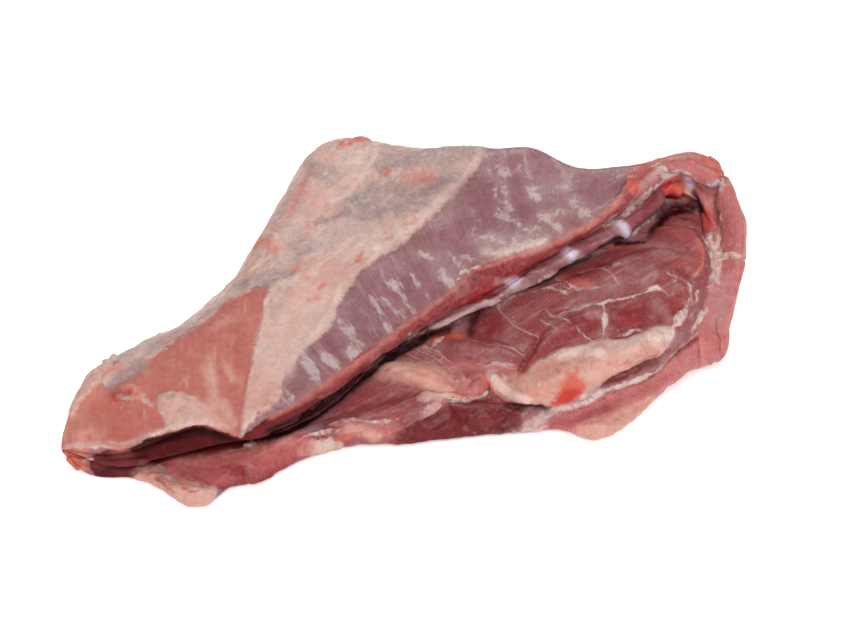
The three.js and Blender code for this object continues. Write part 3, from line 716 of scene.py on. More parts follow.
# Ridges and grooves, each a line with its height in millimetres and its breadth in pixels
RELIEF = {
    "lip": (1.2, 16, (
        (262, 424), (300, 408), (340, 378), (400, 336), (455, 298), (490, 279), (550, 249), (600, 221),
        (632, 194), (648, 172),
    )),
    "over the lip": (-0.8, 6, (
        (320, 386), (363, 350), (405, 323), (455, 285), (472, 267), (510, 255), (560, 239), (600, 214),
        (626, 186),
    )),
    "tube end": (2.6, 24, ((618, 236), (630, 224), (642, 213), (654, 203), (666, 195))),
    "tube": (1.4, 20, ((470, 312), (510, 290), (540, 272), (575, 254), (610, 236), (640, 210), (660, 192))),
    "under the lip": (-2.0, 6, (
        (340, 386), (400, 343), (440, 319), (490, 295), (520, 276), (550, 259), (575, 246), (600, 233),
        (622, 216), (652, 188),
    )),
    "nodule": (1.2, 11, ((503, 285), (514, 280), (523, 277))),
    "nodule middle": (1.2, 12, ((557, 260), (569, 253), (580, 250))),
    "nodule right": (1.0, 11, ((616, 222), (622, 228), (626, 240))),
    "tube rim": (0.8, 5, ((490, 305), (510, 297), (522, 290), (536, 282), (557, 269))),
    "tube lower rim": (1.4, 6, TUBE_LOWER_RIM),
    "lip gap": (-2.0, 8, ((300, 420), (330, 399), (360, 378), (385, 360), (405, 350), (430, 337))),
    "under the rim": (-1.5, 9, ((644, 232), (656, 218), (672, 208))),
    "long line": (-0.9, 4, ((547, 312), (569, 310), (605, 302), (638, 297), (654, 288), (668, 293))),
    "cross line": (-1.1, 5, ((603, 300), (603, 313), (608, 322), (603, 328), (608, 338))),
    "bundle notch": (-1.6, 7, ((542, 334), (534, 348), (524, 364), (518, 380))),
    "fork": (-0.6, 4, ((499, 309), (511, 323), (531, 333), (540, 337))),
    "upper line": (-0.5, 4, ((532, 293), (556, 291), (590, 288), (606, 286))),
    "top line": (-0.6, 5, ((575, 272), (594, 270), (606, 271), (620, 284))),
    "right crease": (-0.9, 5, ((664, 274), (680, 279), (691, 288), (690, 310))),
    "right swell": (1.0, 16, ((640, 280), (660, 268), (686, 262))),
    "left swell": (1.0, 22, ((500, 320), (520, 310), (540, 304))),
    "bundle swell": (1.2, 18, ((612, 322), (630, 318), (646, 312))),
    "bundle swell left": (1.0, 16, ((560, 336), (580, 328), (596, 324))),
    "swirl": (-0.8, 5, ((576, 314), (588, 318), (592, 328), (584, 336))),
    "under the roll": (-2.2, 6, ((560, 408), (590, 398), (606, 383), (626, 370), (660, 358), (674, 344))),
    "over the roll": (-0.9, 5, ((520, 378), (536, 363), (566, 349), (606, 337), (640, 334), (666, 324))),
    "roll body": (3.6, 40, (
        (504, 392), (530, 389), (560, 380), (590, 368), (620, 356), (650, 344), (670, 337),
    )),
    "roll crest": (1.4, 22, ((526, 392), (546, 382), (566, 374))),
    "roll dent left": (-1.2, 12, ((574, 352), (580, 362), (590, 372))),
    "roll light": (1.6, 14, ((584, 354), (594, 352), (604, 352))),
    "roll dent": (-1.5, 12, ((608, 340), (612, 352), (606, 366))),
    "roll middle": (1.3, 13, ((618, 352), (630, 350), (638, 347))),
    "roll dent right": (-1.3, 9, ((644, 334), (647, 344), (642, 356))),
    "roll right": (1.8, 13, ((652, 340), (660, 335), (669, 333))),
    "roll crease": (-1.1, 6, ((596, 370), (610, 364), (626, 361), (644, 356))),
    "roll low": (1.0, 9, ((584, 390), (596, 380), (612, 371), (632, 363))),
    "ribbon": (1.8, 9, ((488, 371), (498, 380), (508, 391), (520, 399), (536, 404))),
    "ribbon inside": (-1.6, 7, ((506, 378), (514, 388), (524, 394))),
    "ribbon curl": (1.0, 6, ((506, 386), (512, 390), (518, 384))),
    "frill dent": (-1.6, 7, ((480, 374), (486, 386), (498, 400))),
    "frill lobe": (1.2, 10, ((466, 384), (474, 376), (484, 372))),
    "frill fold": (1.1, 6, ((416, 394), (430, 392), (446, 396), (466, 397), (486, 394))),
    "under the frill": (-1.4, 7, ((446, 405), (462, 405), (480, 403), (504, 406), (530, 412))),
    "front recess": (-2.4, 12, ((504, 404), (516, 408), (530, 408), (546, 408))),
    "front lobe": (2.2, 18, ((470, 424), (482, 416), (494, 422))),
    "front crease": (-1.8, 8, ((448, 404), (460, 412), (465, 422), (462, 430))),
    "front fold": (1.6, 18, ((424, 434), (440, 424), (454, 418))),
    "frill pink lobe": (1.8, 16, ((483, 374), (477, 384), (470, 392))),
    "frill tab": (1.4, 8, ((458, 372), (463, 380), (464, 388))),
    "shelf band": (1.4, 10, ((440, 400), (430, 410), (418, 421))),
    "lower arm line": (-1.0, 4, ((530, 426), (560, 414), (600, 397), (640, 382), (664, 369), (684, 348))),
    "lower arm": (1.0, 16, ((560, 430), (610, 411), (650, 394), (690, 366))),
    "arm crease": (-1.4, 5, ((700, 330), (701, 348), (700, 370))),
    "arm crease right": (-0.8, 4, ((717, 318), (718, 340), (718, 364))),
    "arm edge": (-1.0, 5, ((662, 369), (676, 354), (692, 342), (700, 330))),
    "lobe notch": (-2.2, 8, ((732, 166), (722, 178), (715, 190), (714, 204))),
    "silverskin": (-0.9, 8, ((710, 236), (716, 254), (718, 284))),
    "silverskin branch": (-1.3, 6, ((716, 256), (732, 256), (752, 262))),
    "fold strip": (1.4, 10, ((694, 190), (706, 206), (711, 226), (710, 242))),
    "fold strip edge": (-1.8, 5, ((690, 190), (699, 204), (703, 222), (706, 240))),
    "fold line": (-1.0, 5, ((716, 276), (708, 296), (698, 320), (688, 338))),
    "corner": (2.6, 40, ((716, 334), (721, 348), (716, 362))),
    "end knob": (2.0, 20, ((668, 184), (676, 190), (682, 194))),
    "arm low": (-1.6, 12, ((664, 394), (680, 382), (700, 370), (712, 366))),
    "top bump": (1.4, 14, ((706, 158), (718, 168))),
    "rim bump": (1.8, 10, ((102, 362), (109, 356), (117, 359))),
    "rim bump right": (1.6, 16, ((156, 332), (170, 326), (184, 320))),
    "scrap": (1.2, 8, ((338, 146), (352, 142), (372, 137))),
    "tongue crease": (-1.2, 5, ((243, 462), (245, 474), (248, 490))),
    "tongue fold": (0.8, 7, ((222, 466), (232, 474), (234, 488))),
    "tongue edge": (-0.9, 5, ((160, 466), (172, 472), (180, 482), (200, 486), (216, 489))),
    "tongue fat": (0.9, 8, ((148, 474), (164, 482), (180, 492))),
    "shelf strand": (1.0, 9, (
        (450, 400), (428, 412), (414, 422), (390, 425), (370, 428), (340, 430), (304, 436),
    )),
    "shelf groove": (-0.8, 6, ((430, 396), (416, 408), (396, 418), (352, 420))),
    "spot rim": (0.9, 6, ((116, 390), (128, 385), (140, 389), (150, 402), (154, 412))),
    "spot": (-0.9, 8, ((114, 397), (124, 395), (132, 393))),
    "curl": (1.4, 7, ((66, 456), (72, 464), (80, 470))),
    "hollow slit": (1.8, 10, ((88, 463), (110, 464), (132, 462), (152, 459))),
    "hollow ridge": (0.9, 4, ((154, 446), (170, 443), (188, 437))),
    "sheet lip": (0.7, 5, (
        (66, 448), (108, 446), (128, 447), (150, 434), (180, 425), (206, 422), (236, 435),
    )),
    "seam fold a": (0.8, 5, ((260, 404), (272, 400), (284, 404))),
    "seam fold b": (0.8, 5, ((254, 413), (268, 408), (282, 411))),
    "seam fold c": (0.7, 5, ((248, 423), (262, 417), (276, 414))),
    "cap fold": (-0.7, 8, ((376, 140), (374, 158), (352, 190), (330, 202))),
    "cap hollow": (-0.8, 12, ((262, 284), (290, 272), (330, 250), (372, 220))),
}
# Overlapping layers: what is on the right of a line, as drawn, stands higher by some millimetres and sinks
# back over some pixels
STEPS = {
    "flap": (1.6, 16, ((448, 340), (470, 341), (488, 344), (511, 348), (528, 361))),
    "seam": (1.0, 18, ((243, 428), (248, 388), (254, 352), (263, 310), (270, 286))),
    "patch": (0.9, 16, ((157, 393), (175, 393), (190, 396), (204, 404), (220, 417))),
    "lower muscle": (1.8, 34, ((516, 362), (540, 338), (560, 320), (602, 304), (650, 293), (690, 300))),
    "upper muscle": (1.4, 22, ((520, 298), (556, 284), (600, 270), (640, 250), (668, 248), (704, 262))),
    "muscle end": (2.0, 20, ((696, 236), (703, 250), (704, 264), (696, 278))),
    "upper lobe": (1.8, 14, ((644, 238), (656, 230), (670, 227), (690, 229), (702, 238))),
    "layers": (1.2, 9, ((664, 222), (676, 216), (690, 214), (698, 220))),
    "top sheet": (1.6, 20, ((718, 190), (703, 182), (690, 174), (676, 170), (664, 172), (652, 174))),
    "right lobe": (1.8, 24, ((726, 262), (724, 246), (723, 222), (719, 206), (716, 192), (722, 176))),
}


def linear(red, green, blue):
    """The shader's value of a colour given as 8-bit screen values."""
    shares = (v / 255 for v in (red, green, blue))
    return tuple(s / 12.92 if s <= 0.04045 else ((s + 0.055) / 1.055) ** 2.4 for s in shares)


def setting(name, description, default, **settings):
    """A number that a user may change."""
    return FloatProperty(name=name, description=description, default=default, **settings)


def colour_property(name, description, red, green, blue):
    """A colour that a user may change, with its default as 8-bit screen values."""
    return FloatVectorProperty(
        name=name,
        description=description,
        subtype="COLOR",
        size=3,
        min=0.0,
        max=1.0,
        default=linear(red, green, blue),
    )


class FlankSizes(bpy.types.PropertyGroup):
    """Sizes of the flank's surface."""

    rounding: IntProperty(
        name="Rounding",
        description="Times that the solid's faces are divided and rounded",
        default=2,
        min=1,
        max=2,
    )
    fat_edge: setting("Fat edge", "Height of the fat above the lean beside it", 0.7 * MM, unit="LENGTH")
    fat_lumps: setting("Fat lumps", "Height of the soft lumps in the fat", 1.6 * MM, unit="LENGTH")
    lean_waves: setting("Lean waves", "Height of the low waves in the lean", 0.9 * MM, unit="LENGTH")


class FlankColours(bpy.types.PropertyGroup):
    """Colours of the flank's tissues."""

    lean: colour_property("Lean", "Outer lean under its thin skin", 152, 104, 108)
    lean_dark: colour_property("Dark lean", "Darker fibres of the outer lean", 134, 86, 92)
    lean_grey: colour_property("Grey lean", "Outer lean where its skin is thicker", 164, 124, 127)
    film: colour_property("Film", "White film on the lean", 196, 176, 172)
    cut: colour_property("Cut lean", "Cut edge of the upper flap", 148, 63, 65)
    # Deeper red, also laid as painted shade under the lip and the tube's rim
    cut_dark_and_shade: colour_property("Dark cut lean", "Deeper red of the cut edge", 122, 34, 38)
    cut_pale: colour_property("Pale cut lean", "Paler parts of the cut edge", 176, 97, 95)
    fold: colour_property("Fold lean", "Redder flesh of the fold's face", 180, 95, 92)
    fold_pale: colour_property("Pale fold lean", "Paler flesh of the fold's face", 190, 121, 118)
    inner: colour_property("Inner muscle", "Muscle in the open mouth", 144, 80, 79)
    deep: colour_property("Deep red", "Bare red bundles of the inner muscle", 146, 60, 57)
    membrane: colour_property("Purple skin", "Skin between the lip and the inner muscle", 142, 75, 82)
    belly: colour_property("Belly", "Dark lining under the upper flap", 98, 20, 25)
    # Darker lining, also laid as painted shade in recesses and gaps
    belly_dark_and_shade: colour_property("Dark belly", "Darker parts of that lining", 76, 6, 11)
    salmon: colour_property("Salmon", "Thin muscle sheet at the tip", 190, 117, 106)
    # Redder sheet, also laid as painted shade beside the roll
    salmon_dark_and_shade: colour_property("Dark salmon", "Redder parts of the muscle sheet", 180, 101, 89)
    fat: colour_property("Fat", "Soft fat", 211, 173, 160)
    fat_dull: colour_property("Dull fat", "Drier and older fat", 188, 157, 148)
    fat_pink: colour_property("Pink fat", "Fat tinged with blood", 208, 151, 136)
    thin_fat: colour_property("Thin fat", "Lean showing through thin fat", 150, 128, 128)
    strand: colour_property("Membrane", "White membranes and silverskin", 214, 190, 184)
    blood: colour_property("Blood", "Orange spots", 201, 95, 75)
    red: colour_property("Fresh blood", "Middle of the larger spots", 188, 54, 44)
    shade: colour_property("Deep shade", "Gaps between the layers", 54, 10, 13)
    crest: colour_property("Pale edge", "Pale edges of the cut lean", 202, 130, 118)
    ash: colour_property("Ash", "Blue-grey strokes in thin fat", 132, 114, 120)
    # Thick pale fat, also laid as painted highlights on the roll
    cream_and_highlight: colour_property("Cream", "Thick pale fat", 224, 196, 185)
    # Painted shade: what the painted shade in fine creases takes off the colour
    crease: colour_property("Crease", "What fine creases take off the colour", 196, 142, 132)
    # Painted highlights: blue-white glints, partly the pale nodules' own colour
    glint_and_nodule: colour_property("Gleam", "Blue-white nodules and dots", 218, 206, 228)


class StageSettings(bpy.types.PropertyGroup):
    """Camera, light and floor."""

    lens: setting("Lens", "Focal length in millimetres", 85.0)
    sensor: setting("Sensor", "Width of the sensor in millimetres", 36.0)
    distance: setting("Distance", "From the camera to the point it looks at", 0.89, unit="LENGTH")
    elevation: setting("Elevation", "How far the camera looks down", math.radians(35), subtype="ANGLE")
    target: FloatVectorProperty(
        name="Target",
        description="The point that the camera looks at",
        default=(6.0 * MM, -14.83 * MM, 30.0 * MM),
        subtype="XYZ",
    )
    floor: colour_property("Floor", "Plain pale floor", 250, 250, 250)
    glow: setting("Floor glow", "Light that the floor gives off itself", 0.4)
    sky: setting("Sky", "Strength of the light from all round", 0.24)
    key: setting("Key light", "Strength of the light from above", 2.08)
    key_way: FloatVectorProperty(
        name="Key way",
        description="Which way the light from above shines",
        default=(0.0, 0.62, -0.78),
        subtype="DIRECTION",
    )
    softness: setting("Softness", "How wide the light from above is", math.radians(30), subtype="ANGLE")
    fill: setting("Fill light", "Power of the soft light in front", 2.0, subtype="POWER")
    back: setting("Back light", "Power of the soft light behind", 4.5, subtype="POWER")


def alone(piece):
    """Makes a piece the only selected one and the active one."""
    bpy.ops.object.select_all(action="DESELECT")
    piece.select_set(True)
    bpy.context.view_layer.objects.active = piece


def modify(piece, kind, **settings):
    """Adds a modifier to a piece and applies it."""
    alone(piece)
    modifier = piece.modifiers.new(kind.title(), kind)
    for name, value in settings.items():
        setattr(modifier, name, value)
    bpy.ops.object.modifier_apply(modifier=modifier.name)


def smooth(values, low, high):
    """Goes softly from 0 at low to 1 at high."""
    share = np.clip((values - low) / (high - low), 0.0, 1.0)
    return share * share * (3.0 - 2.0 * share)


# How a point of the flank lies in the picture
def camera_axes(stage):
    """The camera's place, and its right, up and forward directions."""
    rise = stage.elevation
    forward = np.array((0.0, math.cos(rise), -math.sin(rise)))
    up = np.array((0.0, math.sin(rise), math.cos(rise)))
    right = np.array((1.0, 0.0, 0.0))
    place = np.array(stage.target) - forward * stage.distance
    return place, right, up, forward


def picture_places(points, stage):
    """Where points of the flank lie in the picture, in pixels."""
    place, right, up, forward = camera_axes(stage)
    seen = points - place
    pixels = stage.lens / stage.sensor * PICTURE_WIDTH / (seen @ forward)
    across = PICTURE_WIDTH / 2 + (seen @ right) * pixels
    down = PICTURE_HEIGHT / 2 - (seen @ up) * pixels
    return np.stack((across, down), axis=1)


# How often the corners of a drawn line are cut, and how much of each side a cut takes off
CORNER_CUTS = 2
CORNER_SHARE = 0.25


# Distances to outlines and lines in the picture
def rounded(points, closed):
    """A line through few points with its corners cut, so that it runs round."""
    line = np.array(points, float)
    for _ in range(CORNER_CUTS):
        before = line if closed else line[:-1]
        after = np.roll(line, -1, axis=0) if closed else line[1:]
        early = (1.0 - CORNER_SHARE) * before + CORNER_SHARE * after
        late = CORNER_SHARE * before + (1.0 - CORNER_SHARE) * after
        corners = np.stack((early, late), axis=1).reshape(-1, 2)
        line = corners if closed else np.vstack((line[:1], corners, line[-1:]))
    return np.vstack((line, line[:1])) if closed else line


def line_offset(places, line):
    """Distance from each place to a line, in pixels, negative on its left, and the share along it."""
    start = line[:-1]
    step = line[1:] - start
    length = np.hypot(*step.T)
    begun = np.cumsum(length) - length
    reach = places[:, None, :] - start[None]
    share = np.clip((reach * step).sum(2) / (step * step).sum(1), 0.0, 1.0)
    gap = reach - share[..., None] * step
    far = np.hypot(gap[..., 0], gap[..., 1])
    pick = far.argmin(1)
    row = np.arange(len(places))
    nearest = reach[row, pick]
    side = step[pick, 0] * nearest[:, 1] - step[pick, 1] * nearest[:, 0]
    along = (begun[pick] + share[row, pick] * length[pick]) / length.sum()
    return np.copysign(far[row, pick], side), along


def inside(places, line):
    """Whether each place lies inside a closed line."""
    x, y = places.T
    odd = np.zeros(len(places), bool)
    for (x0, y0), (x1, y1) in zip(line[:-1], line[1:]):
        crossed = (y0 > y) != (y1 > y)
        slope = (x1 - x0) / (y1 - y0) if y1 != y0 else 0.0
        odd ^= crossed & (x < x0 + (y - y0) * slope)
    return odd


def near(places, line):
    """Which places are close enough to a line to be measured."""
    margin = REACH / PIXEL_MM
    low = line.min(0) - margin
    high = line.max(0) + margin
    return ((places > low) & (places < high)).all(1)


def beside(places, points):
    """Which places are close to a drawn line, and, for those, the distance to it and the share along it."""
    line = rounded(points, False)
    close = near(places, line)
    return close, *line_offset(places[close], line)


def tapered(along, share):
    """Rises softly from 0 at both ends of a line to 1, each over a share of its length."""
    return smooth(along, 0.0, share) * smooth(along, 1.0, 1.0 - share)


def shaken(points, places):
    """Places moved a little, so that what is drawn on them runs unevenly."""
    noise.seed_set(SHAKE_SEED)
    moved = places.copy()
    for reach, size in SHAKES:
        moved += reach * np.array([noise.noise_vector(Vector(p) / size)[:2] for p in points])
    return moved


def area_field(places, outlines):
    """Distance into the nearest of several outlines, in millimetres, negative outside them."""
    field = np.full(len(places), -REACH)
    for points in outlines.values():
        line = rounded(points, True)
        close = near(places, line)
        far = np.abs(line_offset(places[close], line)[0])
        depth = np.where(inside(places[close], line), far, -far) * PIXEL_MM
        field[close] = np.maximum(field[close], depth)
    return np.clip(field, -REACH, REACH)


# Share of a broad line's length over which each end narrows, and breadth of the tips to that of the middle
LINE_TAPER = 0.25
LINE_TIP = 0.35


def line_field(places, lines):
    """Distance into the nearest of several broad lines, in millimetres, negative outside them."""
    field = np.full(len(places), -REACH)
    for breadth, points in lines.values():
        close, offset, along = beside(places, points)
        slim = LINE_TIP + (1.0 - LINE_TIP) * tapered(along, LINE_TAPER)
        depth = (breadth / 2 * slim - np.abs(offset)) * PIXEL_MM
        field[close] = np.maximum(field[close], depth)
    return np.clip(field, -REACH, REACH)


def stain_paint(places, colours):
    """Colour of the soft strokes at each place, times their strength, and that strength."""
    paint = np.zeros((len(places), 4))
    for name, strokes in STAINS.items():
        tone = np.array((*getattr(colours, name), 1.0))
        for strength, breadth, soft, points in strokes.values():
            close, offset, _ = beside(places, points)
            share = strength * smooth(np.abs(offset), (breadth + soft) / 2, (breadth - soft) / 2)[:, None]
            paint[close] = paint[close] * (1.0 - share) + tone * share
    return paint


# How far from a thin line, in millimetres, it still shows, and how far it shows fully
VEIN_REACH = 2.2
VEIN_CORE = 0.6 * VEIN_REACH


def vein_fields(places):
    """The side distance to the nearest thin line, in millimetres, and how near that line is."""
    side = np.full(len(places), REACH)
    for points in VEINS.values():
        close, offset, _ = beside(places, points)
        before = side[close]
        after = offset * PIXEL_MM
        side[close] = np.where(np.abs(after) < np.abs(before), after, before)
    nearness = 1.0 - smooth(np.abs(side), VEIN_CORE, VEIN_REACH)
    return side, nearness


# Half the breadth, in pixels, over which an overlapping layer rises
STEP_SOFT = 2.5
# Share of the length over which each end of a ridge or groove, and of an overlapping layer, fades
RIDGE_TAPER = 0.12
STEP_TAPER = 0.15


def relief_heights(places):
    """How far the surface stands out, in millimetres, over the ridges, grooves and overlapping layers."""
    heights = np.zeros(len(places))
    for height, breadth, points in RELIEF.values():
        close, offset, along = beside(places, points)
        rise = 1.0 - smooth(np.abs(offset), 0.0, breadth / 2)
        heights[close] += height * tapered(along, RIDGE_TAPER) * rise
    for height, fade, points in STEPS.values():
        close, offset, along = beside(places, points)
        rise = smooth(offset, -STEP_SOFT, STEP_SOFT) * (1.0 - smooth(offset, STEP_SOFT, fade))
        heights[close] += height * tapered(along, STEP_TAPER) * rise
    return heights


# Fibres of the outer lean fan out from this place in the picture
FAN_CENTRE = (600, 640)
FAN_RADIUS_MM = 170.0


def fibre_places(places):
    """Place across and along the fibres of the outer lean, in millimetres."""
    away = places - np.array(FAN_CENTRE, float)
    turn = np.arctan2(away[:, 0], -away[:, 1])
    return np.stack((turn * FAN_RADIUS_MM, np.hypot(*away.T) * PIXEL_MM, np.zeros(len(places))), axis=1)


def points_of(mesh):
    """The points of a mesh and their normals, as arrays."""
    points = np.empty(len(mesh.vertices) * 3)
    normals = np.empty(len(mesh.vertices) * 3)
    mesh.vertices.foreach_get("co", points)
    mesh.vertex_normals.foreach_get("vector", normals)
    return points.reshape(-1, 3), normals.reshape(-1, 3)


# How far above a point its view of the camera is tested, and how far it may turn away, as a cosine
SIGHT_LIFT = 0.6 * MM
SIGHT_TURN = -0.05
# Rings of neighbours that count as seen too
SIGHT_RINGS = 2


def seen_points(mesh, stage):
    """Which points of a mesh the camera sees."""
    points, normals = points_of(mesh)
    eye = Vector(camera_axes(stage)[0])
    faces = [tuple(face.vertices) for face in mesh.polygons]
    tree = BVHTree.FromPolygons([Vector(p) for p in points], faces)
    seen = np.zeros(len(points), bool)
    for index, (point, normal) in enumerate(zip(points, normals)):
        start = Vector(point) + SIGHT_LIFT * Vector(normal)
        way = (eye - start).normalized()
        if way.dot(Vector(normal)) > SIGHT_TURN:
            seen[index] = tree.ray_cast(start, way)[0] is None
    return seen


def spread(mesh, marked, rings):
    """Adds the neighbours of marked points to them, ring by ring."""
    edges = np.empty(len(mesh.edges) * 2, int)
    mesh.edges.foreach_get("vertices", edges)
    a, b = edges.reshape(-1, 2).T
    marked = marked.copy()
    for _ in range(rings):
        grown = marked.copy()
        grown[a] |= marked[b]
        grown[b] |= marked[a]
        marked = grown
    return marked


def nearest_seen(points, seen):
    """For each point the index of the nearest seen point, and the distance to it in millimetres."""
    chosen = np.flatnonzero(seen)
    tree = KDTree(len(chosen))
    for index in chosen:
        tree.insert(points[index], index)
    tree.balance()
    source = np.arange(len(points))
    far = np.zeros(len(points))
    for index in np.flatnonzero(~seen):
        _, source[index], gap = tree.find(points[index])
        far[index] = gap / MM
    return source, far


# Roughness of the noise in soft patches, the step from each of its sizes to the next, and their number
PATCH_NOISE = (1.0, 2.0, 3)


def patchy(points, middle, swing, size, shift):
    """A value that swings about its middle in soft patches of about a given size in metres."""
    offset = Vector((shift, 2 * shift, 3 * shift))
    return middle + swing * np.array([noise.fractal(Vector(p) / size + offset, *PATCH_NOISE) for p in points])


# Fields that outlines make, and those that broad lines make
AREAS = {
    "fat": FAT, "salmon": SALMON, "belly": BELLY, "cut": CUT, "fold": FOLD, "inner": INNER, "deep": DEEP,
    "shade": SHADE, "spot": SPOTS, "fresh": FRESH, "membrane": MEMBRANE,
}
LINES = {"strand": STRANDS, "film": FILM, "net": NET, "crease": CREASE_SHADES}

# How far from what the picture shows, in millimetres, its tissues and its finer marks reach
TISSUE_REACH = (3.0, 24.0)
MARK_REACH = (0.8, 6.0)
MARKS = (
    "strand", "film", "net", "spot", "fresh", "crease", "vein", "vein_near", "relief", "stain", "shade",
    "deep",
)
# Patches on the hidden sides: middle, swing, size and place in the noise. The reach is a share of the usual
# one, and the depths of fat and film are millimetres
UNEVEN_REACH = (1.0, 0.5, 9 * MM, 5.3)
HIDDEN_FAT = (1.5, 8.0, 60 * MM, 3.7)
HIDDEN_FILM = (-2.5, 5.0, 25 * MM, 9.1)


def tissue_fields(mesh, stage, colours):
    """How deep each point of the flank lies in each tissue, in millimetres, with its stains and fibres."""
    points, _ = points_of(mesh)
    straight = picture_places(points, stage)
    places = shaken(points, straight)
    fields = {name: area_field(places, outlines) for name, outlines in AREAS.items()}
    fields.update({name: line_field(places, lines) for name, lines in LINES.items()})
    fields["relief"] = relief_heights(places)
    fields["vein"], fields["vein_near"] = vein_fields(places)
    fields["stain"] = stain_paint(places, colours)
    seen = spread(mesh, seen_points(mesh, stage), SIGHT_RINGS)
    source, far = nearest_seen(points, seen)
    uneven = far * patchy(points, *UNEVEN_REACH)
    unseen = {name: -REACH for name in fields}
    unseen["fat"] = patchy(points, *HIDDEN_FAT)
    unseen["film"] = patchy(points, *HIDDEN_FILM)
    unseen.update(vein_near=0.0, relief=0.0, stain=0.0)
    for name, field in fields.items():
        away = smooth(uneven, *(MARK_REACH if name in MARKS else TISSUE_REACH))
        share = away[:, None] if field.ndim == 2 else away
        fields[name] = (1.0 - share) * field[source] + share * unseen[name]
    fields["fibre_place"] = fibre_places(straight)
    return fields


# Kind of attribute, and the key of its values, for each number of values that a point has
KINDS = {1: ("FLOAT", "value"), 3: ("FLOAT_VECTOR", "vector"), 4: ("FLOAT_COLOR", "color")}


def store(mesh, name, values):
    """Keeps a number, a place or a colour for each point in the mesh, for the material."""
    kind, key = KINDS[values.size // len(values)]
    attribute = mesh.attributes.new(name, kind, "POINT")
    attribute.data.foreach_set(key, values.astype(np.float32).ravel())


# How close points of the solid's loose triangles are joined
JOIN_GAP = 0.01 * MM


# The surface
def flank_copy():
    """A new object with the flank's own form, its loose triangles joined."""
    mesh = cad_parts[NODE].data.copy()
    mesh.materials.clear()
    piece = bpy.data.objects.new("flank_meat", mesh)
    bpy.context.scene.collection.objects.link(piece)
    alone(piece)
    bpy.ops.object.mode_set(mode="EDIT")
    bpy.ops.mesh.select_all(action="SELECT")
    bpy.ops.mesh.remove_doubles(threshold=JOIN_GAP)
    bpy.ops.mesh.tris_convert_to_quads()
    bpy.ops.object.mode_set(mode="OBJECT")
    return piece


# Steps in which the shares of a vertex group are kept
WEIGHT_STEPS = 100


def mask_group(piece, name, weights):
    """Keeps a share for each point as a vertex group, for the modifiers that shape the surface."""
    group = piece.vertex_groups.new(name=name)
    steps = np.round(np.clip(weights, 0.0, 1.0) * WEIGHT_STEPS).astype(int)
    for step in np.unique(steps[steps > 0]):
        group.add(np.flatnonzero(steps == step).tolist(), step / WEIGHT_STEPS, "REPLACE")
    return group.name


# Finer sizes of noise that lumps have
LUMP_DETAIL = 2


def raise_by(piece, name, weights, height, lump_size=None):
    """Lifts the surface where the weights are high, evenly or in lumps of a given size."""
    settings = {"vertex_group": mask_group(piece, name, weights), "strength": height, "mid_level": 0.0}
    if lump_size:
        clouds = bpy.data.textures.new(name, "CLOUDS")
        clouds.noise_scale = lump_size
        clouds.noise_depth = LUMP_DETAIL
        settings.update(texture=clouds, texture_coords="LOCAL", mid_level=0.5)
    modify(piece, "DISPLACE", **settings)


def move_points(mesh, points):
    """Puts the points of a mesh at new places."""
    mesh.vertices.foreach_set("co", points.ravel())
    mesh.update()


def push(piece, heights):
    """Moves each point along its normal by its own height in millimetres."""
    points, normals = points_of(piece.data)
    move_points(piece.data, points + normals * heights[:, None] * MM)


# Where the relief of a tissue begins and is full, in millimetres into its outlines
FADES = {
    "fold": (-2.0, 3.0),
    "fat": (-0.6, 1.2),
    "fat middle": (2.0, 8.0),
    "fat lumps": (0.0, 4.0),
    "inner": (-1.0, 3.0),
    "strand": (-1.0, 0.6),
    "skins": (-0.5, 1.0),
    "cut": (-1.5, 1.0),
    "film": (-0.8, 0.8),
    "shade": (-0.5, 2.5),
}
# Heights of even relief
STRAND_RISE = 0.4 * MM
FILM_RISE = 0.25 * MM
GAP_RISE = -2.0 * MM
# Heights and sizes of lumps, and sizes of those whose height is a setting
FAT_GRAIN = (1.1 * MM, 3.8 * MM)
LEAN_LUMPS = (1.2 * MM, 7 * MM)
SKIN_LUMPS = (1.8 * MM, 3.2 * MM)
LIP_LUMPS = (1.5 * MM, 5 * MM)
FAT_LUMP_SIZE = 9 * MM
LEAN_WAVE_SIZE = 14 * MM
# How much of its raised edge the fat loses towards its middle
EDGE_LOSS = 0.6
# Strength and passes of the smoothing of the fold
FOLD_SMOOTHING = 0.5
FOLD_PASSES = 12


def shape_tissues(piece, fields, sizes):
    """Gives each tissue its own relief."""
    soft_fold = mask_group(piece, "soft fold", smooth(fields["fold"], *FADES["fold"]))
    modify(piece, "SMOOTH", vertex_group=soft_fold, factor=FOLD_SMOOTHING, iterations=FOLD_PASSES)
    push(piece, fields["relief"])
    fat = smooth(fields["fat"], *FADES["fat"])
    bare = 1.0 - fat
    edge = fat * (1.0 - EDGE_LOSS * smooth(fields["fat"], *FADES["fat middle"]))
    skins = np.maximum(fields["strand"], fields["membrane"])
    raise_by(piece, "fat edge", edge, sizes.fat_edge)
    raise_by(piece, "fat lumps", smooth(fields["fat"], *FADES["fat lumps"]), sizes.fat_lumps, FAT_LUMP_SIZE)
    raise_by(piece, "fat grain", fat, *FAT_GRAIN)
    raise_by(piece, "lean lumps", bare * smooth(fields["inner"], *FADES["inner"]), *LEAN_LUMPS)
    raise_by(piece, "lean waves", bare, sizes.lean_waves, LEAN_WAVE_SIZE)
    raise_by(piece, "membranes", smooth(fields["strand"], *FADES["strand"]), STRAND_RISE)
    raise_by(piece, "membrane lumps", smooth(skins, *FADES["skins"]), *SKIN_LUMPS)
    raise_by(piece, "rough lip", smooth(fields["cut"], *FADES["cut"]), *LIP_LUMPS)
    raise_by(piece, "film", bare * smooth(fields["film"], *FADES["film"]), FILM_RISE)
    raise_by(piece, "gaps", smooth(fields["shade"], *FADES["shade"]), GAP_RISE)


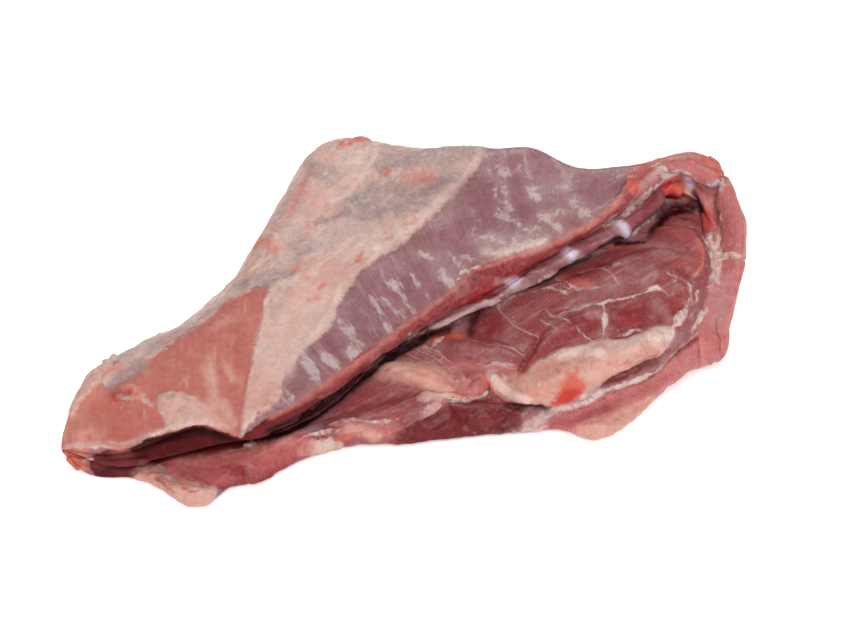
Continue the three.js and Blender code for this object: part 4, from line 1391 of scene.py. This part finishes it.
def rest_on_floor(piece):
    """Keeps the underside from reaching below the floor."""
    points, _ = points_of(piece.data)
    points[:, 2] = np.maximum(points[:, 2], 0.0)
    move_points(piece.data, points)


BLACK = (0.0, 0.0, 0.0, 1.0)
WHITE = (1.0, 1.0, 1.0, 1.0)
# Middle of a noise's range, and how much of that range is used, because its values crowd round the middle
NOISE_MIDDLE = 0.5
NOISE_SPAN = 0.42
UNTURNED = (0.0, 0.0, 0.0)
# Turn of the wrinkles in the fat
FAT_TURN = (0.0, 0.0, math.radians(50))
# Turn of the inner muscle's fibres
INNER_TURN = (0.0, math.radians(-14), math.radians(28))
# Turn of the cloudy noises, so that no row of them runs along an axis
CLOUD_TURN = (math.radians(33), math.radians(24), math.radians(41))


class Brush:
    """Adds shader nodes to one material and joins them."""

    def __init__(self, tree):
        self.tree = tree
        self.object_place = self.node("ShaderNodeTexCoord").outputs["Object"]

    def node(self, kind, inputs=None, **settings):
        """A new node with its settings, and its inputs by name or number."""
        made = self.tree.nodes.new(kind)
        for name, value in settings.items():
            setattr(made, name, value)
        for socket, value in (inputs or {}).items():
            if isinstance(value, bpy.types.NodeSocket):
                self.tree.links.new(value, made.inputs[socket])
            else:
                made.inputs[socket].default_value = value
        return made

    def field(self, name, output="Fac"):
        """What the mesh keeps under a name: a value, or by another output a place or a colour."""
        return self.node("ShaderNodeAttribute", attribute_name=name).outputs[output]

    def calc(self, operation, a, b=0.0, c=0.0):
        """One step of arithmetic."""
        return self.node("ShaderNodeMath", {0: a, 1: b, 2: c}, operation=operation).outputs[0]

    def ramp(self, value, low, high, start=0.0, end=1.0, kind="SMOOTHSTEP"):
        """Goes from start at low to end at high, softly or in another way."""
        return self.node(
            "ShaderNodeMapRange",
            {"Value": value, "From Min": low, "From Max": high, "To Min": start, "To Max": end},
            interpolation_type=kind,
        ).outputs["Result"]

    def stretch(self, place, sizes, turn):
        """Turns a place and measures it in steps of the given sizes."""
        return self.node(
            "ShaderNodeMapping",
            {"Vector": place, "Rotation": turn, "Scale": sizes},
            vector_type="TEXTURE",
        ).outputs["Vector"]

    def grain(self, size, detail, rough, place=None, bend=0.0, turn=UNTURNED):
        """Cloudy noise with features of about a given size, from 0 to 1."""
        sizes = (size, size, size) if np.isscalar(size) else size
        vector = self.stretch(place or self.object_place, sizes, turn)
        cloud = self.node(
            "ShaderNodeTexNoise",
            {"Vector": vector, "Scale": 1.0, "Detail": detail, "Roughness": rough, "Distortion": bend},
        ).outputs["Fac"]
        return self.ramp(cloud, NOISE_MIDDLE - NOISE_SPAN / 2, NOISE_MIDDLE + NOISE_SPAN / 2, kind="LINEAR")

    def blend(self, share, under, over, mode="MIX"):
        """Lays one colour over another."""
        made = self.node("ShaderNodeMix", {0: share, 6: under, 7: over}, data_type="RGBA", blend_type=mode)
        return made.outputs[2]


class Grains:
    """The noises and fibre patterns that several tissues share."""

    def __init__(self, brush):
        fibre = brush.field("fibre_place", "Vector")
        creased = (13 * MM, 4.5 * MM, 6.0 * MM)
        # The fine specks serve as painted glints of the wet surface on the cut edge, the fold's face and the
        # inner muscle
        self.speck = brush.grain(0.7 * MM, detail=2.0, rough=0.5)
        self.fine = brush.grain(1.2 * MM, detail=2.0, rough=0.5)
        self.small = brush.grain(2.8 * MM, detail=4.0, rough=0.58, bend=0.4, turn=CLOUD_TURN)
        self.soft = brush.grain(4.5 * MM, detail=2.0, rough=0.5, bend=1.2, turn=CLOUD_TURN)
        self.middle = brush.grain(8.0 * MM, detail=3.0, rough=0.55, bend=0.6, turn=CLOUD_TURN)
        self.broad = brush.grain(22.0 * MM, detail=2.0, rough=0.5)
        self.fibres = brush.grain((0.9, 30.0, 1.0), detail=3.0, rough=0.6, place=fibre)
        self.bundles = brush.grain((4.0, 50.0, 1.0), detail=3.0, rough=0.6, place=fibre)
        self.feather = brush.grain((1.6, 6.0, 1.0), detail=3.0, rough=0.55, place=fibre, bend=0.5)
        self.swirl = brush.grain(3.4 * MM, detail=3.0, rough=0.52, bend=1.0)
        self.wrinkles = brush.grain(creased, detail=4.0, rough=0.55, bend=0.8, turn=FAT_TURN)
        self.threads = brush.grain((2.2 * MM, 40 * MM, 40 * MM), detail=4.0, rough=0.6)
        self.flecks = brush.grain((2.0 * MM, 9 * MM, 9 * MM), detail=5.0, rough=0.66, bend=0.5)
        self.bands = brush.grain((12 * MM, 3.6 * MM, 3.6 * MM), detail=5.0, rough=0.6, bend=0.6)
        self.strokes = brush.grain((16 * MM, 1.3 * MM, 2.2 * MM), detail=3.0, rough=0.6, turn=INNER_TURN)


# Softness and raggedness of each tissue's border in the material, in millimetres
BORDERS = {
    "fold": (0.5, 2.0),
    "inner": (0.5, 2.0),
    "deep": (2.2, 6.0),
    "membrane": (0.5, 2.0),
    "cut": (0.4, 1.2),
    "belly": (0.4, 1.2),
    "salmon": (0.4, 1.2),
    "fat": (0.9, 2.2),
    "strand": (0.5, 1.6),
    "spot": (1.6, 1.6),
    "fresh": (1.7, 1.6),
    "crease": (0.45, 0.25),
    "shade": (1.8, 2.0),
}
# The same for the dull finish of the lining under the upper flap
DULL_BORDER = (0.6, 1.0)
# Shares of the small and the middle noise in a ragged border
RAG_SMALL = 0.7
RAG_MIDDLE = 0.3
# Where a torn layer begins and is full, in millimetres into its lines
TORN_EDGE = (-0.7, 1.5)
# How far the borders of torn layers stray, in millimetres: on the lean, and flecks on the thin sheet
STREAK_STRAY = 2.6
NET_STRAY = 2.8
FLECK_STRAY = 3.4
# Share that a layer covers at most
FILM_COVER = 0.85
FLECK_COVER = 0.55
BARE_COVER = 0.85
SPOT_COVER = 0.95
GAP_COVER = 0.8
# The haze about the net: where it begins and is full, in millimetres, and its share there
NET_HAZE = (-4.0, 0.0, 0.0, 0.1)
# Distances from a thin line, in millimetres, where it ends and where it is full
VEIN_EDGE = (0.7, 0.1)
# How the small noise makes a layer patchy: two of its values, and the layer's share at each
TORN_PATCHES = (0.0, 0.8, 0.55, 1.0)
VEIN_PATCHES = (0.1, 0.8, 0.12, 0.58)
STRAND_PATCHES = (0.1, 0.8, 0.4, 0.9)
STAIN_PATCHES = (0.15, 0.6, 0.7, 1.0)
# The same for the roughness of the surface, and what gaps add to it
MOIST_ROUGHNESS = (0.0, 1.0, 0.26, 0.44)
GAP_ROUGHNESS = 0.4
# Strength of the soft mottling of all colours
MOTTLE = 0.18
# Share of each noise in the fine bumps of the lean, the fat and the fold's face, and the middle of the fat's
LEAN_BUMPS = {"small": 0.2, "fibres": 0.15}
FAT_BUMPS = {"middle": 0.5, "wrinkles": 0.5, "small": 0.3}
FOLD_BUMPS = {"fine": 0.35}
FAT_MIDDLE = 0.65


def strayed(brush, grain, name, stray):
    """A tissue's depth, with its border moved in and out by a noise over some millimetres."""
    return brush.calc("MULTIPLY_ADD", brush.calc("SUBTRACT", grain, NOISE_MIDDLE), stray, brush.field(name))


def tissue_mask(brush, grains, name, soft, rag):
    """Where a tissue lies, with a ragged border: rag and soft are millimetres."""
    middle = brush.calc("MULTIPLY", grains.middle, RAG_MIDDLE)
    shake = brush.calc("MULTIPLY_ADD", grains.small, RAG_SMALL, middle)
    return brush.ramp(strayed(brush, shake, name, rag), -soft, soft)


def torn_mask(brush, grains, grain, name, stray):
    """Where a thin torn layer lies, its borders straying by some millimetres."""
    layer = brush.ramp(strayed(brush, grain, name, stray), *TORN_EDGE)
    return brush.calc("MULTIPLY", layer, brush.ramp(grains.small, *TORN_PATCHES))


def glazed(brush, tone, colour, glazes):
    """Lays thin colours on a colour, each by a noise with its values at start and full, a share and a tone."""
    for grain, begin, full, share, name in glazes:
        colour = brush.blend(brush.ramp(grain, begin, full, 0.0, share), colour, tone(name))
    return colour


def bumps(brush, grains, shares):
    """Noises added up, each times its share."""
    height = 0.0
    for name, share in shares.items():
        height = brush.calc("MULTIPLY_ADD", getattr(grains, name), share, height)
    return height


def lean_colour(brush, grains, tone):
    """Outer lean with its fibres and torn white film."""
    colour = glazed(brush, tone, brush.blend(grains.fibres, tone("lean_dark"), tone("lean")), (
        (grains.broad, 0.2, 0.9, 0.4, "lean_grey"),
        (grains.bundles, 0.62, 1.0, 0.14, "film"),
    ))
    streaks = torn_mask(brush, grains, grains.feather, "film", STREAK_STRAY)
    net = torn_mask(brush, grains, grains.swirl, "net", NET_STRAY)
    torn = brush.calc("MULTIPLY", brush.calc("MAXIMUM", streaks, net), FILM_COVER)
    haze = brush.ramp(brush.field("net"), *NET_HAZE)
    return brush.blend(brush.calc("MAXIMUM", torn, haze), colour, tone("film"))


def cut_colour(brush, grains, tone):
    """Bare cut edge: grainy red."""
    return glazed(brush, tone, brush.blend(grains.middle, tone("cut_dark_and_shade"), tone("cut")), (
        (grains.small, 0.4, 1.0, 0.45, "cut_pale"),
        # Painted glints: pale specks on the cut edge
        (grains.speck, 0.75, 1.0, 0.35, "crest"),
    ))


def fold_colour(brush, grains, tone):
    """Cut face of the fold: pale grainy red."""
    return glazed(brush, tone, brush.blend(grains.middle, tone("fold_pale"), tone("fold")), (
        (grains.small, 0.4, 1.0, 0.55, "fold"),
        (grains.fine, 0.45, 1.0, 0.5, "fold_pale"),
        (grains.small, 0.4, 0.0, 0.35, "cut"),
        # Painted glints: white specks on the fold's face
        (grains.speck, 0.8, 1.0, 0.35, "strand"),
    ))


def inner_colour(brush, grains, tone):
    """Muscle in the mouth: grey-brown skin with redder bare flesh."""
    colour = glazed(brush, tone, tone("inner"), (
        (grains.middle, 0.3, 1.0, 0.8, "deep"),
        (grains.broad, 0.5, 0.9, 0.35, "lean_grey"),
        (grains.strokes, 0.55, 1.0, 0.28, "film"),
        (grains.strokes, 0.45, 0.0, 0.3, "cut_dark_and_shade"),
    ))
    bare = brush.calc("MULTIPLY", tissue_mask(brush, grains, "deep", *BORDERS["deep"]), BARE_COVER)
    colour = brush.blend(bare, colour, brush.blend(grains.small, tone("cut_dark_and_shade"), tone("deep")))
    return glazed(brush, tone, colour, (
        # Painted glints: white specks on the inner muscle
        (grains.speck, 0.88, 1.0, 0.4, "strand"),
    ))


def salmon_colour(brush, grains, tone):
    """Thin muscle sheet with straight pale threads."""
    colour = glazed(brush, tone, brush.blend(grains.middle, tone("salmon"), tone("salmon_dark_and_shade")), (
        (grains.threads, 0.4, 1.0, 0.16, "fat_pink"),
    ))
    flecks = torn_mask(brush, grains, grains.flecks, "film", FLECK_STRAY)
    return brush.blend(brush.calc("MULTIPLY", flecks, FLECK_COVER), colour, tone("fat"))


def fat_colour(brush, grains, tone):
    """Soft fat: cream, duller and pinker in patches."""
    return glazed(brush, tone, tone("fat"), (
        (grains.middle, 0.1, 0.9, 1.0, "fat_dull"),
        (grains.broad, 0.3, 1.0, 0.6, "fat_pink"),
        (grains.wrinkles, 0.55, 0.8, 0.4, "fat_dull"),
        (grains.bands, 0.6, 0.85, 0.4, "fat_pink"),
        (grains.wrinkles, 0.42, 0.1, 0.45, "cream_and_highlight"),
    ))


def membrane_colour(brush, grains, tone):
    """Purple skin under the lip with pale wrinkles."""
    return glazed(brush, tone, tone("membrane"), (
        (grains.small, 0.4, 1.0, 0.7, "deep"),
        (grains.strokes, 0.5, 1.0, 0.55, "film"),
    ))


def meat_material(colours):
    """Fat, lean, membranes and spots, each where its field in the mesh puts it."""
    material = bpy.data.materials.new("moist_raw_meat")
    material.use_nodes = True
    tree = material.node_tree
    tree.nodes.clear()
    brush = Brush(tree)
    grains = Grains(brush)

    def tone(name):
        return (*getattr(colours, name), 1.0)

    def lay(share, over):
        nonlocal colour
        colour = brush.blend(share, colour, over)

    def mask(name):
        return tissue_mask(brush, grains, name, *BORDERS[name])

    def part(share, amount):
        return brush.calc("MULTIPLY", share, amount)

    colour = lean_colour(brush, grains, tone)
    fold = mask("fold")
    lay(fold, fold_colour(brush, grains, tone))
    lay(mask("inner"), inner_colour(brush, grains, tone))
    lay(mask("membrane"), membrane_colour(brush, grains, tone))
    lay(mask("cut"), cut_colour(brush, grains, tone))
    lay(mask("belly"), brush.blend(grains.middle, tone("belly"), tone("belly_dark_and_shade")))
    lay(mask("salmon"), salmon_colour(brush, grains, tone))
    vein = brush.ramp(brush.calc("ABSOLUTE", brush.field("vein")), *VEIN_EDGE)
    vein = part(vein, brush.ramp(grains.small, *VEIN_PATCHES))
    lay(part(vein, brush.field("vein_near")), tone("strand"))
    fat = mask("fat")
    lay(fat, fat_colour(brush, grains, tone))
    lay(part(mask("strand"), brush.ramp(grains.small, *STRAND_PATCHES)), tone("strand"))
    cover = brush.ramp(grains.small, *STAIN_PATCHES)
    lay(part(brush.field("stain", "Alpha"), cover), BLACK)
    colour = brush.blend(cover, colour, brush.field("stain", "Color"), "ADD")
    colour = brush.blend(MOTTLE, colour, grains.soft, "SOFT_LIGHT")
    lay(part(mask("spot"), SPOT_COVER), tone("blood"))
    lay(part(mask("fresh"), SPOT_COVER), tone("red"))
    # Painted shade in the fine creases, multiplied into the colour
    colour = brush.blend(mask("crease"), colour, tone("crease"), "MULTIPLY")
    gap = mask("shade")
    lay(part(gap, GAP_COVER), tone("shade"))

    dull = brush.calc("MAXIMUM", gap, tissue_mask(brush, grains, "belly", *DULL_BORDER))
    rough = brush.ramp(grains.small, *MOIST_ROUGHNESS)
    rough = brush.calc("MULTIPLY_ADD", dull, GAP_ROUGHNESS, rough)
    fat_bumps = brush.calc("SUBTRACT", bumps(brush, grains, FAT_BUMPS), FAT_MIDDLE)
    relief = brush.calc("MULTIPLY_ADD", fat, fat_bumps, bumps(brush, grains, LEAN_BUMPS))
    relief = brush.calc("MULTIPLY_ADD", fold, bumps(brush, grains, FOLD_BUMPS), relief)
    bump = brush.node("ShaderNodeBump", {"Strength": 0.7, "Distance": 0.8 * MM, "Height": relief})
    meat = brush.node(
        "ShaderNodeBsdfPrincipled",
        {
            "Base Color": colour,
            "Roughness": rough,
            "Normal": bump.outputs["Normal"],
            "Subsurface Weight": 0.12,
            "Subsurface Radius": (1.0, 0.4, 0.3),
            "Subsurface Scale": 2.0 * MM,
            "Specular IOR Level": 0.22,
        },
    )
    output = brush.node("ShaderNodeOutputMaterial")
    tree.links.new(meat.outputs["BSDF"], output.inputs["Surface"])
    return material


class FLANK_OT_meat(bpy.types.Operator):
    """Model the flank's surface and lay its tissues on it"""

    bl_idname = "flank.meat"
    bl_label = "Pork flank"
    bl_options = {"REGISTER", "UNDO"}

    def execute(self, context):
        sizes = context.scene.flank_sizes
        piece = flank_copy()
        modify(piece, "SUBSURF", levels=sizes.rounding, render_levels=sizes.rounding)
        fields = tissue_fields(piece.data, context.scene.flank_stage, context.scene.flank_colours)
        shape_tissues(piece, fields, sizes)
        rest_on_floor(piece)
        piece.vertex_groups.clear()
        del fields["relief"]
        for name, values in fields.items():
            store(piece.data, name, values)
        alone(piece)
        bpy.ops.object.shade_smooth()
        piece.data.materials.append(meat_material(context.scene.flank_colours))
        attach(piece, "root")
        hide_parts(NODE)
        return {"FINISHED"}


def placed(name, data, place, way):
    """A new object that stands at a place and points a way."""
    made = bpy.data.objects.new(name, data)
    made.location = place
    made.rotation_euler = Vector(way).to_track_quat("-Z", "Y").to_euler()
    bpy.context.scene.collection.objects.link(made)
    return made


def soft_light(name, place, target, size, power):
    """Adds a large soft lamp that points at a target."""
    lamp = bpy.data.lights.new(name, "AREA")
    lamp.shape = "DISK"
    lamp.size = size
    lamp.energy = power
    placed(name, lamp, place, Vector(target) - Vector(place))


def plain_material(name, colour, roughness, glow):
    """One even colour with a faint glow, for the floor."""
    material = bpy.data.materials.new(name)
    material.use_nodes = True
    shader = material.node_tree.nodes["Principled BSDF"]
    shader.inputs["Base Color"].default_value = (*colour, 1.0)
    shader.inputs["Roughness"].default_value = roughness
    shader.inputs["Emission Color"].default_value = (*colour, 1.0)
    shader.inputs["Emission Strength"].default_value = glow
    return material


FLOOR_SIZE = 6.0
FLOOR_ROUGHNESS = 0.9
# Where the soft lamps stand, and how wide they are
FILL_PLACE = (0.5, -0.9, 0.5)
FILL_SIZE = 0.8
BACK_PLACE = (-0.1, 0.9, 0.75)
BACK_SIZE = 0.6


class FLANK_OT_stage(bpy.types.Operator):
    """Add the floor, the soft light and the camera"""

    bl_idname = "flank.stage"
    bl_label = "Stage"
    bl_options = {"REGISTER", "UNDO"}

    def execute(self, context):
        stage = context.scene.flank_stage
        bpy.ops.object.select_all(action="DESELECT")
        bpy.ops.mesh.primitive_plane_add(size=FLOOR_SIZE, location=(0.0, 0.0, 0.0))
        floor = context.object
        floor.name = "floor"
        pale = plain_material("pale_floor", stage.floor, FLOOR_ROUGHNESS, stage.glow)
        floor.data.materials.append(pale)

        world = bpy.data.worlds.new("soft_sky")
        world.use_nodes = True
        sky = world.node_tree.nodes["Background"]
        sky.inputs["Color"].default_value = WHITE
        sky.inputs["Strength"].default_value = stage.sky
        context.scene.world = world

        sun = bpy.data.lights.new("key", "SUN")
        sun.energy = stage.key
        sun.angle = stage.softness
        placed("key", sun, (0.0, 0.0, 0.0), stage.key_way)
        soft_light("fill", FILL_PLACE, stage.target, FILL_SIZE, stage.fill)
        soft_light("back", BACK_PLACE, stage.target, BACK_SIZE, stage.back)

        lens = bpy.data.cameras.new("camera")
        lens.lens = stage.lens
        lens.sensor_width = stage.sensor
        lens.sensor_fit = "HORIZONTAL"
        place, _, _, forward = camera_axes(stage)
        context.scene.camera = placed("camera", lens, place, forward)
        context.scene.view_settings.view_transform = "Standard"
        return {"FINISHED"}


class FLANK_PT_panel(bpy.types.Panel):
    """The flank's sizes, colours and stage"""

    bl_label = "Pork flank"
    bl_idname = "FLANK_PT_panel"
    bl_space_type = "VIEW_3D"
    bl_region_type = "UI"
    bl_category = "Pork flank"

    def draw(self, context):
        for operator in (FLANK_OT_meat, FLANK_OT_stage):
            self.layout.operator(operator.bl_idname)
        for group in (context.scene.flank_sizes, context.scene.flank_colours, context.scene.flank_stage):
            box = self.layout.box()
            for name in group.__annotations__:
                box.prop(group, name)


CLASSES = (FlankSizes, FlankColours, StageSettings, FLANK_OT_meat, FLANK_OT_stage, FLANK_PT_panel)


def register():
    for cls in CLASSES:
        bpy.utils.register_class(cls)
    bpy.types.Scene.flank_sizes = PointerProperty(type=FlankSizes)
    bpy.types.Scene.flank_colours = PointerProperty(type=FlankColours)
    bpy.types.Scene.flank_stage = PointerProperty(type=StageSettings)


def unregister():
    del bpy.types.Scene.flank_stage
    del bpy.types.Scene.flank_colours
    del bpy.types.Scene.flank_sizes
    for cls in reversed(CLASSES):
        bpy.utils.unregister_class(cls)


def main():
    """Makes the flank and the stage."""
    register()
    bpy.ops.flank.meat()
    bpy.ops.flank.stage()


if __name__ == "__main__":
    main()
